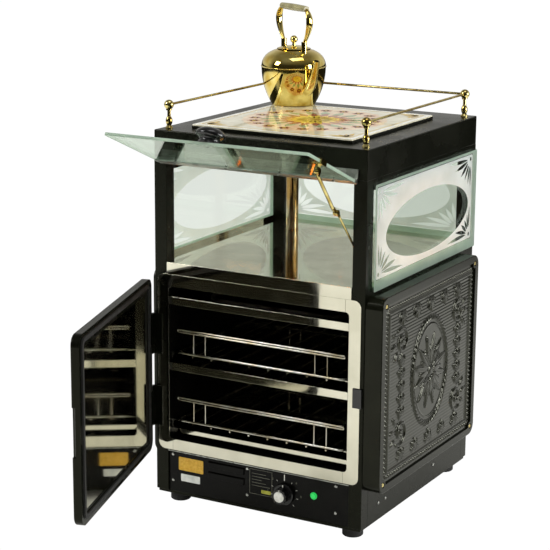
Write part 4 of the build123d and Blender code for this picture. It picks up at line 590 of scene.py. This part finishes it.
def reliefHeights(u, v, look):
    # Pressed ornament: a beaded border, a rope-edged medallion with a rosette, scrolls and leaf sprays on
    # reeding; a bead, a rope or a line gives its half width and its height
    length, height, inset, pitch = (look[k] for k in ("length", "height", "beadInset", "beadPitch"))
    middle, level = length / 2, height / 2
    edge = np.minimum(np.minimum(u, length - u), np.minimum(v, height - v))
    reeds = look["reedHeight"] * (0.5 + 0.5 * np.cos(2 * math.pi * v / look["reedPitch"]))
    h = np.where(edge > look["frame"], reeds, 0)
    for inward, halfWidth, tall in look["frameLines"]:
        h = np.maximum(h, ridge(edge - look["frame"] - inward, halfWidth, tall))
    for line, reach, other, span in ((u, length, v, height), (v, height, u, length)):
        for row in (inset, span - inset):
            centre = (np.round(line / pitch - 0.5) + 0.5) * pitch
            bead = np.hypot(line - centre, other - row)
            slack = look["beadSlack"]
            within = (line > inset - slack) & (line < reach - inset + slack)
            h = np.maximum(h, np.where(within, ridge(bead, *look["bead"]), 0))

    a, b = look["medallion"]
    out = np.hypot((u - middle) / a, (v - level) / b)
    turn = np.arctan2((v - level) / b, (u - middle) / a)
    rim = (out - 1) * (a + b) / 2
    h = np.where(rim < 0, look["dish"][0] + look["dish"][1] * (1 - out) ** 2, h)
    twist = 1 - look["ropeTwist"] + look["ropeTwist"] * np.cos(look["ropeStrands"] * turn + rim)
    h = np.maximum(h, ridge(rim, *look["rope"]) * twist)
    h = np.maximum(h, ridge(rim + look["innerLineInset"], *look["innerLine"]))
    for count, start, reach, width, tall, offset in look["rosette"]:
        for k in range(count):
            angle = 360 * (k + offset) / count
            x = middle + start * math.cos(math.radians(angle))
            y = level + start * look["rosetteStretch"] * math.sin(math.radians(angle))
            h = np.maximum(h, leafBump(u, v, x, y, angle, reach, width, tall))
    h = np.maximum(h, ridge(np.hypot(u - middle, v - level), *look["boss"]))

    for sideways in (-1, 1):
        for upward in (-1, 1):
            x, y = middle + sideways * look["scrollX"], level + upward * look["scrollY"]
            curl = scrollDistance(u, v, x, y, look["scrollRadius"], -sideways, upward)
            h = np.maximum(h, ridge(curl, *look["scrollBead"]))
            h = np.maximum(h, ridge(np.hypot(u - x, v - y), *look["scrollEye"]))
            for angle, reach, width, tall in look["scrollLeaves"]:
                turned = mirroredAngle(angle, sideways, upward)
                start = onward(x, y, look["scrollRadius"] * look["leafSeat"], turned)
                h = np.maximum(h, leafBump(u, v, *start, turned, reach, width, tall))
        x = middle + sideways * look["columnX"]
        for k in range(-2, 3):
            y = level + k * look["columnPitch"] - look["columnDrop"]
            for angle, reach, width, tall in look["columnLeaves"]:
                h = np.maximum(h, leafBump(u, v, x, y, angle, reach, width, tall))
        for upward in (-1, 1):
            base = level + upward * (height / 2 - look["frame"] - look["fanInset"])
            for k in range(-2, 3):
                fan = middle + k * look["fanPitch"]
                for angle, reach, width, tall in look["fanLeaves"]:
                    h = np.maximum(h, leafBump(u, v, fan, base, -upward * 90 + angle, reach, width, tall))

    for x in (look["screwInset"], length - look["screwInset"]):
        for y in (look["screwInset"], height - look["screwInset"]):
            h = np.where(np.hypot(u - x, v - y) < look["screwClear"], 0, h)
    return np.where(edge <= 0, 0, h)


def reliefField(name, faceX, outward, scale):
    look = {
        "front": -226.0, "rear": 180.0, "bottom": 113.0, "top": 457.0, "cell": 1.55, "back": 0.6,
        "proud": 0.05, "frame": 20, "frameLines": [(0, 2.6, 2.6), (6, 1.2, 1.2)], "beadInset": 11.5,
        "beadPitch": 9.0, "beadSlack": 1, "bead": (3.3, 2.6), "reedPitch": 6.2, "reedHeight": 0.55,
        "medallion": (78, 104), "dish": (0.4, 1.6), "ropeStrands": 54, "ropeTwist": 0.22, "rope": (5.2, 4.8),
        "innerLineInset": 11, "innerLine": (1.4, 1.6), "boss": (11, 5.2), "rosetteStretch": 1.25,
        # each ring of the rosette: how many leaves, where they start, their length, width, height, turn
        "rosette": [(12, 14, 58, 17, 4.2, 0.5), (12, 10, 40, 13, 5.0, 0.0)],
        "scrollX": 128, "scrollY": 88, "scrollRadius": 27, "scrollBead": (3.0, 3.8),
        "scrollEye": (5.0, 4.6), "leafSeat": 0.92,
        # each leaf from here on: its angle, length, width and height
        "scrollLeaves": [(-80, 22, 9, 3.6), (-45, 24, 10, 3.6), (-10, 24, 10, 3.6), (25, 20, 9, 3.6)],
        "columnX": 128, "columnPitch": 25, "columnDrop": 9,
        "columnLeaves": [(50, 23, 10, 4.4), (130, 23, 10, 4.4), (90, 26, 10, 4.4)],
        "fanPitch": 62, "fanInset": 10,
        "fanLeaves": [(-70, 20, 10, 4.2), (-35, 23.5, 10, 4.2), (0, 27, 10, 4.2), (35, 23.5, 10, 4.2),
                      (70, 20, 10, 4.2)],
        "screwInset": 2, "screwClear": 15,
    }
    look["length"], look["height"] = look["rear"] - look["front"], look["top"] - look["bottom"]
    across = np.linspace(0, look["length"], int(look["length"] / look["cell"]) + 1)
    up = np.linspace(0, look["height"], int(look["height"] / look["cell"]) + 1)
    u, v = np.meshgrid(across, up, indexing="ij")
    heights = reliefHeights(u, v, look) * scale
    columns, rows = u.shape
    places = [faceX + outward * (heights + look["proud"]), look["front"] + u, look["bottom"] + v]
    surface = np.stack(places, axis=-1).reshape(-1, 3)
    mesh = bmesh.new()
    top = [mesh.verts.new(Vector(point) * mm) for point in surface]
    rim = [(i, 0) for i in range(columns)] + [(columns - 1, j) for j in range(1, rows)]
    rim += [(i, rows - 1) for i in range(columns - 2, -1, -1)] + [(0, j) for j in range(rows - 2, 0, -1)]
    bottom = {}
    for i, j in rim:
        y, z = surface[i * rows + j][1:]
        bottom[i, j] = mesh.verts.new(Vector((faceX - outward * look["back"], y, z)) * mm)
    for i in range(columns - 1):
        for j in range(rows - 1):
            first = i * rows + j
            mesh.faces.new([top[first], top[first + rows], top[first + rows + 1], top[first + 1]])
    for (i, j), (m, n) in zip(rim, rim[1:] + rim[:1]):
        mesh.faces.new([top[i * rows + j], top[m * rows + n], bottom[m, n], bottom[i, j]])
    mesh.faces.new([bottom[key] for key in rim])
    bmesh.ops.recalc_face_normals(mesh, faces=mesh.faces)
    for face in mesh.faces:
        face.smooth = len(face.verts) == 4
    return addPiece(name, mesh, [ornamentLacquer], "cabinet")


reliefField("reliefOrnamentRight", 256.0, 1, 1.0)
reliefField("reliefOrnamentLeft", -229.0, -1, 0.55)
print("relief ornament pressed")

# The flap as it is propped open: its hinge in millimetres, and how far its front is tilted up in degrees
flapPose = {"hinge": (0.0, -249.0, 682.0), "tilt": 22.8}
flapTilt = math.radians(flapPose["tilt"])
flapAlong = Vector((0, -math.cos(flapTilt), math.sin(flapTilt)))
flapUpward = Vector((0, math.sin(flapTilt), math.cos(flapTilt)))


def flapKnob():
    # Turned knob on top of the flap: a broad domed head over a thick waisted neck
    look = {
        "reach": 180.0, "halfGlass": 2.5, "turns": 48, "footRoom": 0.5,
        "profile": [(0, 31), (7, 30.6), (14, 29.3), (20, 26.9), (24.6, 23.4), (27.2, 19.6), (27.7, 17),
                    (26.6, 14.5), (23.4, 12.6), (20, 10.9), (18.2, 8.6), (18.2, 6), (19.4, 3.2), (20.6, 1.3),
                    (20.6, 0.1), (0, 0.1)],
    }
    foot = Vector(flapPose["hinge"]) + flapAlong * look["reach"] + flapUpward * look["halfGlass"]
    across = flapAlong.cross(flapUpward)
    mesh = bmesh.new()
    rings = []
    for radius, height in look["profile"]:
        if radius == 0:
            rings.append([mesh.verts.new((foot + flapUpward * height) * mm)])
            continue
        ring = []
        for k in range(look["turns"]):
            angle = 2 * math.pi * k / look["turns"]
            side = flapAlong * math.cos(angle) + across * math.sin(angle)
            ring.append(mesh.verts.new((foot + flapUpward * height + side * radius) * mm))
        rings.append(ring)
    for high, low in zip(rings, rings[1:]):
        for k in range(look["turns"]):
            n = (k + 1) % look["turns"]
            if len(high) == 1:
                mesh.faces.new([high[0], low[k], low[n]])
            elif len(low) == 1:
                mesh.faces.new([high[n], high[k], low[0]])
            else:
                mesh.faces.new([high[k], low[k], low[n], high[n]])
    bmesh.ops.recalc_face_normals(mesh, faces=mesh.faces)
    flatBelow = (foot.dot(flapUpward) + look["footRoom"]) * mm
    for face in mesh.faces:
        face.smooth = face.calc_center_median().dot(flapUpward) > flatBelow
    piece = addPiece("flapKnobTurned", mesh, [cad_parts["flap_knob"].data.materials[0]], "flap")
    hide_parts("flap_knob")


def flapEdges():
    # Ground and polished edges of the flap's glass: pale green, they light up along the pane's outline
    look = {"near": 7.0, "far": 198.0, "half": 207.0, "proud": 0.2, "chamfer": 0.9, "thickness": 5.4,
            "corner": 3.0}
    place = facing(Vector(flapPose["hinge"]) + flapUpward * look["thickness"] / 2, (1, 0, 0), flapAlong)
    loops = []
    for inset in (-look["proud"], look["chamfer"]):
        half = look["half"] - inset
        loops.append(roundedBox(-half, look["near"] + inset, half, look["far"] - inset, look["corner"]))
    ground = etchedGlass("groundGlassEdge", "#dfeae1", "#cfdcd2", 2.0)
    flatPiece("flapGroundEdge", [(ground, loops)], look["thickness"], place, "flap")


flapKnob()
flapEdges()
print("flap knob turned, edges ground")


def tilePrint():
    # Fired print of the roof tile: a gold line, a rose field with a sunflower, green leaves and blossoms
    look = {
        "gloss": (0.05, 0.1),
        "inks": {"white": ("whiteGlazeInk", "#dededa", "#ebebe4", 14.0),
                 "gold": ("goldInk", "#a8842c", "#cfae48", 14.0),
                 "green": ("greenInk", "#7f8f66", "#9fae86", 14.0),
                 "rose": ("paleRoseInk", "#c8aa8e", "#dcc7a8", 30.0),
                 "rust": ("rustInk", "#8f5138", "#b37552", 14.0),
                 "yellow": ("yellowInk", "#cda72a", "#e4cb57", 14.0)},
        "rim": 0.3, "edge": 7.0, "inset": 12.0, "line": 1.8, "corner": 2, "thickness": 0.12, "gap": 0.01,
        "collarRoom": 47.0, "field": (136, 140), "fieldPoints": 280, "scallops": 28, "scallopDepth": 4.0,
        # a leaf gives its length and width, and its bend where it has one
        "blossoms": 20, "blossomRing": (117, 121), "blossomLeaf": (14, 10), "eyeRadius": 3.4,
        "petals": 18, "leafRing": 58, "leafTurn": 8, "leaf": (50, 19, 0.12), "rustRing": 16,
        "rustLeaf": (66, 20), "sunRing": 12, "sunLeaf": (46, 14), "heartRadius": 17,
        "cornerRoom": 60, "cornerInset": 8, "cornerLeaves": [(8, 42), (30, 30), (60, 30), (82, 42)],
        "cornerWidth": 10, "rises": {"leaves": 0.1, "blossoms": 0.15, "sun": 0.2, "heart": 0.25},
    }
    inks = {key: printInk(*values, look["gloss"]) for key, values in look["inks"].items()}
    lo, hi = boxInMm("picture_tile")
    collarLo, collarHi = boxInMm("flue_collar")
    collar = (collarLo + collarHi) / 2
    width, depth = hi.x - lo.x, hi.y - lo.y
    middle = (width / 2, depth / 2)

    def around(angle, halfWidth, halfHeight):
        return middle[0] + halfWidth * math.cos(angle), middle[1] + halfHeight * math.sin(angle)

    field = []
    for k in range(look["fieldPoints"]):
        angle = 2 * math.pi * k / look["fieldPoints"]
        ripple = look["scallopDepth"] * abs(math.sin(look["scallops"] * angle / 2))
        field.append(around(angle, look["field"][0] + ripple, look["field"][1] + ripple))
    blossoms, eyes, corners = [], [], []
    for k in range(look["blossoms"]):
        angle = 2 * math.pi * k / look["blossoms"]
        x, y = around(angle, *look["blossomRing"])
        blossoms += [leaf(x, y, 60 * p + math.degrees(angle), *look["blossomLeaf"]) for p in range(6)]
        eyes.append(oval(x, y, look["eyeRadius"], look["eyeRadius"], 12))
    leaves, rust, sun = [], [], []
    for k in range(look["petals"]):
        angle = 2 * math.pi * k / look["petals"]
        turned = math.degrees(angle)
        start = around(angle, look["leafRing"], look["leafRing"])
        leaves.append(leaf(*start, turned + look["leafTurn"], *look["leaf"]))
        rust.append(leaf(*around(angle, look["rustRing"], look["rustRing"]), turned, *look["rustLeaf"]))
        start = around(angle + math.pi / look["petals"], look["sunRing"], look["sunRing"])
        sun.append(leaf(*start, turned + 180 / look["petals"], *look["sunLeaf"]))
    for sideways in (-1, 1):
        for upward in (-1, 1):
            x = middle[0] + sideways * (width / 2 - look["inset"] - look["cornerInset"])
            y = middle[1] + upward * (depth / 2 - look["inset"] - look["cornerInset"])
            # Nothing is printed where the collar stands on the tile
            fromCollar = math.hypot(x + lo.x - collar.x, y + lo.y - collar.y)
            if fromCollar > look["collarRoom"] + look["cornerRoom"]:
                for angle, reach in look["cornerLeaves"]:
                    turned = mirroredAngle(angle, -sideways, -upward)
                    corners.append(leaf(x, y, turned, reach, look["cornerWidth"]))
    inset, rises = look["inset"], look["rises"]
    place = facing((lo.x, lo.y, hi.z + look["gap"]), (1, 0, 0), (0, 1, 0))
    bands = (("tilePrintEdge", "white", (look["rim"], look["edge"])),
             ("tilePrintLine", "gold", (inset, inset + look["line"])))
    for name, colour, insets in bands:
        loops = [roundedBox(i, i, width - i, depth - i, look["corner"]) for i in insets]
        flatPiece(name, [(inks[colour], loops)], look["thickness"], place, "cabinet")
    flatPiece("tilePrintField", [(inks["rose"], [field])], look["thickness"], place, "cabinet")
    heart = corners + [oval(*middle, look["heartRadius"], look["heartRadius"], 40)]
    layers = [("tilePrintLeaves", "green", leaves, rises["leaves"]),
              ("tilePrintBlossoms", "rust", blossoms + rust, rises["blossoms"]),
              ("tilePrintSun", "yellow", sun + eyes, rises["sun"]),
              ("tilePrintHeart", "gold", heart, rises["heart"])]
    for name, colour, loops, rise in layers:
        lifted = place @ Matrix.Translation((0, 0, rise))
        stackedPiece(name, inks[colour], loops, look["thickness"], lifted, "cabinet")


tilePrint()
print("tile printed")


def controlGraphics():
    # Bare plates and plain dial marks of the control panel
    look = {
        "faceY": -239.02, "ink": 0.12, "plateThickness": 0.5, "plateCorner": 2.0,
        # each plate: its ink with a dark and a light tone and the clouds' size, and where its edges are
        "plates": {
            "yellowPlate": (("yellowPlate", "#c99a22", "#dcae34", 5.0), (-176.0, 71.0, -120.0, 98.0)),
            "silverPlate": (("silverPlate", "#c9ccc8", "#dfe1dd", 14.0), (-171.0, 49.0, -127.5, 64.0)),
            "tagPlate": (("yellowGreenTag", "#8f8f2a", "#a9a83c", 14.0), (10.0, 57.0, 31.0, 64.0)),
        },
        "outline": (-16.0, 53.0, 33.5, 103.0), "outlineWidth": 0.7, "outlineCorners": (0.8, 0.5),
        "rules": range(70, 100, 6), "ruleInset": 5, "ruleStep": 9, "ruleHeight": 0.8, "ruleCorner": 0.3,
        "dialTicks": 9, "dialStart": 225, "dialSweep": 270, "dialRadius": 27.0, "tickLength": 3.0,
        "tickHalfWidth": 0.35, "numbers": 5, "numberGap": 9, "digitHeight": 6.0,
        "indexHalfWidth": 0.9, "indexReach": (-1, 11), "indexCorner": 0.8, "indexRise": 0.05,
        "knobMarkWidth": 1.8, "knobMarkGap": 0.02,
        "knobMarks": [("knobMarkFace", 0.0, (10.9, 13.5)), ("knobMarkSkirt", 14.5, (14.2, 19.2))],
    }
    white = printInk("whiteInk", "#d2d2cb", "#e6e6df")
    grey = printInk("greyInk", "#55554a", "#6d6d5f")
    knobLo, knobHi = boxInMm("thermostat_knob")
    knobX, knobZ = (knobLo.x + knobHi.x) / 2, (knobLo.z + knobHi.z) / 2
    place = facing((0, look["faceY"], 0), (1, 0, 0), (0, 0, 1))
    for name, (ink, edges) in look["plates"].items():
        plate = [(printInk(*ink), [roundedBox(*edges, look["plateCorner"])])]
        flatPiece(name, plate, look["plateThickness"], place, "cabinet")
    left, bottom, right, top = look["outline"]
    width, inset = look["outlineWidth"], look["ruleInset"]
    outer, inner = look["outlineCorners"]
    frameLoops = [roundedBox(left, bottom, right, top, outer),
                  roundedBox(left + width, bottom + width, right - width, top - width, inner)]
    rules = []
    for k, z in enumerate(look["rules"]):
        end = right - inset - look["ruleStep"] * (k % 3)
        rules.append(roundedBox(left + inset, z, end, z + look["ruleHeight"], look["ruleCorner"]))
    flatPiece("outlinedPlate", [(grey, frameLoops), (grey, rules)], look["ink"], place, "cabinet")
    marks = []
    for k in range(look["dialTicks"]):
        angle = math.radians(look["dialStart"] - look["dialSweep"] * k / (look["dialTicks"] - 1))
        along = Vector((math.cos(angle), math.sin(angle)))
        side = Vector((-along.y, along.x)) * look["tickHalfWidth"]
        start = Vector((knobX, knobZ)) + along * look["dialRadius"]
        end = start + along * look["tickLength"]
        marks.append([tuple(start - side), tuple(end - side), tuple(end + side), tuple(start + side)])
    stackedPiece("dialTicks", white, marks, look["ink"], place, "cabinet")
    digits = []
    for k in range(1, look["numbers"] + 1):
        angle = look["dialStart"] - look["dialSweep"] * k / (look["numbers"] + 1)
        reach = look["dialRadius"] + look["numberGap"]
        digits.append((str(k), *onward(knobX, knobZ, reach, angle)))
    dialDigits(digits, look["digitHeight"], grey, place)
    near, far = (knobZ + look["dialRadius"] + reach for reach in look["indexReach"])
    half = look["indexHalfWidth"]
    indexLine = roundedBox(knobX - half, near, knobX + half, far, look["indexCorner"])
    flatPiece("indexLine", [(white, [indexLine])], look["ink"] + look["indexRise"], place, "cabinet")
    # The knob's own mark, on its face and on its skirt, shows how far it is turned
    half = look["knobMarkWidth"] / 2
    for name, behind, (low, high) in look["knobMarks"]:
        front = facing((knobX, knobLo.y + behind - look["knobMarkGap"], knobZ), (1, 0, 0), (0, 0, 1))
        mark = [(-half, low), (half, low), (half, high), (-half, high)]
        stackedPiece(name, white, [mark], look["ink"], front, "knob")


def dialDigits(digits, height, material, place):
    # Plain numbers round the dial, as thin solids
    halfThickness = 0.06
    mesh = bmesh.new()
    for text, x, z in digits:
        letter = bpy.data.curves.new("digit", "FONT")
        letter.body = text
        letter.size = height
        letter.align_x, letter.align_y = "CENTER", "CENTER"
        letter.extrude = halfThickness
        cut, stand = meshFromCurve("digit", letter, (x, z, halfThickness))
        cut.transform(place @ stand)
        mesh.from_mesh(cut)
    bmesh.ops.remove_doubles(mesh, verts=mesh.verts, dist=0.000001)
    addPiece("dialDigits", mesh, [material], "cabinet")


controlGraphics()
print("control panel marked")


def paperFloor(look):
    # White paper sweep: the eye sees it blown out, mirrors see a lit sheet with painted shade in its front
    # right corner and beyond its edge, and for all other light it is paper
    bpy.ops.mesh.primitive_plane_add(size=look["paperSize"], location=(0, 0, -look["paperDrop"]))
    floor = bpy.context.object
    floor.name = "studioFloor"
    material, tree, shader = startMaterial("seamlessPaper", look["paper"], 0.9, Specular_IOR_Level=0.1)
    place = mottle(tree, shader, look["paperCloudMm"], *look["paperGloss"])[0]
    split = addNode(tree, "SeparateXYZ", {}, {0: place.outputs["Object"]})
    reach = addNode(tree, "VectorMath", {"operation": "DISTANCE", 1: look["sheetMiddle"]},
                    {0: place.outputs["Object"]})
    near, far = look["sheetRadius"] - look["sheetFade"], look["sheetRadius"] + look["sheetFade"]
    sheet = addNode(tree, "MapRange", {"From Min": near, "From Max": far, "To Min": 1.0, "To Max": 0.0},
                    {"Value": reach.outputs["Value"]})
    # The front right corner of the sheet is painted shade: there mirrors see a dark diffuse instead of paper
    right = addNode(tree, "Math", {"operation": "GREATER_THAN", 1: look["shadeX"]}, {0: split.outputs["X"]})
    front = addNode(tree, "Math", {"operation": "LESS_THAN", 1: look["shadeY"]}, {0: split.outputs["Y"]})
    shade = addNode(tree, "Math", {"operation": "MULTIPLY"}, {0: right.outputs[0], 1: front.outputs[0]})
    lit = addNode(tree, "Math", {"operation": "SUBTRACT", "use_clamp": True},
                  {0: sheet.outputs[0], 1: shade.outputs[0]})
    path = addNode(tree, "LightPath")
    unseen = addNode(tree, "Math", {"operation": "SUBTRACT", 0: 1.0}, {1: path.outputs["Is Glossy Ray"]})
    white = addNode(tree, "Math", {"operation": "MAXIMUM"}, {0: lit.outputs[0], 1: unseen.outputs[0]})
    # Painted shade: the dark colour that mirrors see in that corner and beyond the edge of the lit sheet
    dark = addNode(tree, "BsdfDiffuse", {"Color": linearColour(look["unlit"])})
    sweep = addNode(tree, "MixShader", {}, {0: white.outputs[0], 1: dark.outputs[0], 2: shader.outputs[0]})
    blown = addNode(tree, "Emission", {"Color": linearColour("#ffffff"), "Strength": look["seen"]})
    mix = addNode(tree, "MixShader", {},
                  {0: path.outputs["Is Camera Ray"], 1: sweep.outputs[0], 2: blown.outputs[0]})
    tree.links.new(mix.outputs[0], tree.nodes["Material Output"].inputs["Surface"])
    floor.data.materials.append(material)


def studioRoom(look):
    # Mirrors see a dark room that is brighter at the rear and the left, the eye sees plain white, and
    # everything else gets an even light
    world = bpy.data.worlds.new("photoStudio")
    bpy.context.scene.world = world
    world.use_nodes = True
    tree = world.node_tree
    tree.nodes.clear()
    way = addNode(tree, "TexCoord")
    split = addNode(tree, "SeparateXYZ", {}, {0: way.outputs["Generated"]})
    leftward = addNode(tree, "Math", {"operation": "MULTIPLY", 1: look["leftShare"]}, {0: split.outputs["X"]})
    side = addNode(tree, "Math", {"operation": "ADD"}, {0: leftward.outputs[0], 1: split.outputs["Y"]})
    low, high = look["rearBand"]
    rear = addNode(tree, "MapRange",
                   {"From Min": low, "From Max": high, "To Min": look["room"], "To Max": look["backdrop"]},
                   {"Value": side.outputs[0]})
    low, high = look["zenithBand"]
    above = addNode(tree, "MapRange", {"From Min": low, "From Max": high}, {"Value": split.outputs["Z"]})
    blend = addNode(tree, "Mix", {"data_type": "FLOAT", 3: look["zenith"]},
                    {0: above.outputs[0], 2: rear.outputs[0]})
    seen = addNode(tree, "Background", {"Color": linearColour("#ffffff"), "Strength": 1.0})
    path = addNode(tree, "LightPath")
    mirrored = addNode(tree, "Mix", {"data_type": "FLOAT", 2: look["ambient"]},
                       {0: path.outputs["Is Glossy Ray"], 3: blend.outputs[0]})
    room = addNode(tree, "Background", {"Color": linearColour(look["air"])},
                   {"Strength": mirrored.outputs[0]})
    mix = addNode(tree, "MixShader", {},
                  {0: path.outputs["Is Camera Ray"], 1: room.outputs[0], 2: seen.outputs[0]})
    output = addNode(tree, "OutputWorld")
    tree.links.new(mix.outputs[0], output.inputs["Surface"])


def studio():
    # Paper sweep, room and softboxes, with the glow of the case's own lamp; a softbox gives its place,
    # its aim, its size, its watts and its colour
    look = {
        "paper": "#eaeae7", "unlit": "#20201c", "paperSize": 90, "paperDrop": 0.0005, "seen": 1.02,
        "paperCloudMm": 400, "paperGloss": (0.85, 0.95), "leftShare": -0.5, "rearBand": (-0.2, 0.3),
        "zenithBand": (0.35, 0.8),
        "sheetMiddle": (-1.3, -0.3, 0.0), "sheetRadius": 3.3, "sheetFade": 0.4, "shadeX": 0.35,
        "shadeY": -0.6, "air": "#fdfcf6", "room": 0.03, "backdrop": 0.6, "zenith": 0.2, "ambient": 0.95,
        "softboxes": {"keySoftbox": ((-2.2, -2.6, 2.6), (0, 0, 0.45), (1.1, 1.5), 62, "#ffffff"),
                      "fillSoftbox": ((3.0, 0.15, 1.15), (0, 0, 0.45), (0.6, 1.6), 28, "#ffffff"),
                      "edgeSoftbox": ((3.0, 1.15, 0.8), (0, 0, 0.45), (0.55, 1.2), 40, "#ffffff"),
                      "topSoftbox": ((0.6, -0.4, 3.2), (0, 0, 0.45), (1.6, 1.0), 12, "#ffffff"),
                      "lampGlow": ((0, -0.03, 0.683), (0, -0.03, 0.4), (0.17, 0.05), 0.5, "#ff9a40")},
    }
    paperFloor(look)
    studioRoom(look)
    for name, (place, aim, size, watts, colour) in look["softboxes"].items():
        lamp = bpy.data.lights.new(name, "AREA")
        lamp.shape = "RECTANGLE"
        lamp.size, lamp.size_y = size
        lamp.energy = watts
        lamp.color = linearColour(colour)[:3]
        lampObject = addObject(name, lamp)
        lampObject.location = place
        lampObject.rotation_euler = (Vector(aim) - Vector(place)).to_track_quat("-Z", "Y").to_euler()


def photographCamera():
    # Stands where the photograph was taken from; the focal length is in pixels of a 550 by 550 picture
    look = {"place": (1.5996, -3.0269, 1.2616), "azimuth": 29.28, "elevation": 13.58, "roll": 0.43,
            "focalPixels": 1779.8, "width": 550, "sensor": 36, "clip": (0.05, 200)}
    az, el, roll = (math.radians(look[k]) for k in ("azimuth", "elevation", "roll"))
    ahead = Vector((-math.sin(az) * math.cos(el), math.cos(az) * math.cos(el), -math.sin(el)))
    level = Vector((math.cos(az), math.sin(az), 0))
    above = level.cross(ahead)
    right = math.cos(roll) * level + math.sin(roll) * above
    up = -math.sin(roll) * level + math.cos(roll) * above
    lens = bpy.data.cameras.new("photographCamera")
    lens.sensor_fit, lens.sensor_width = "HORIZONTAL", look["sensor"]
    lens.lens = look["focalPixels"] / look["width"] * look["sensor"]
    lens.clip_start, lens.clip_end = look["clip"]
    camera = addObject("photographCamera", lens)
    camera.matrix_world = Matrix((right, up, -ahead)).transposed().to_4x4()
    camera.location = look["place"]
    bpy.context.scene.camera = camera


studio()
photographCamera()
bpy.context.scene.view_settings.view_transform = "Standard"
print("studio and camera set")
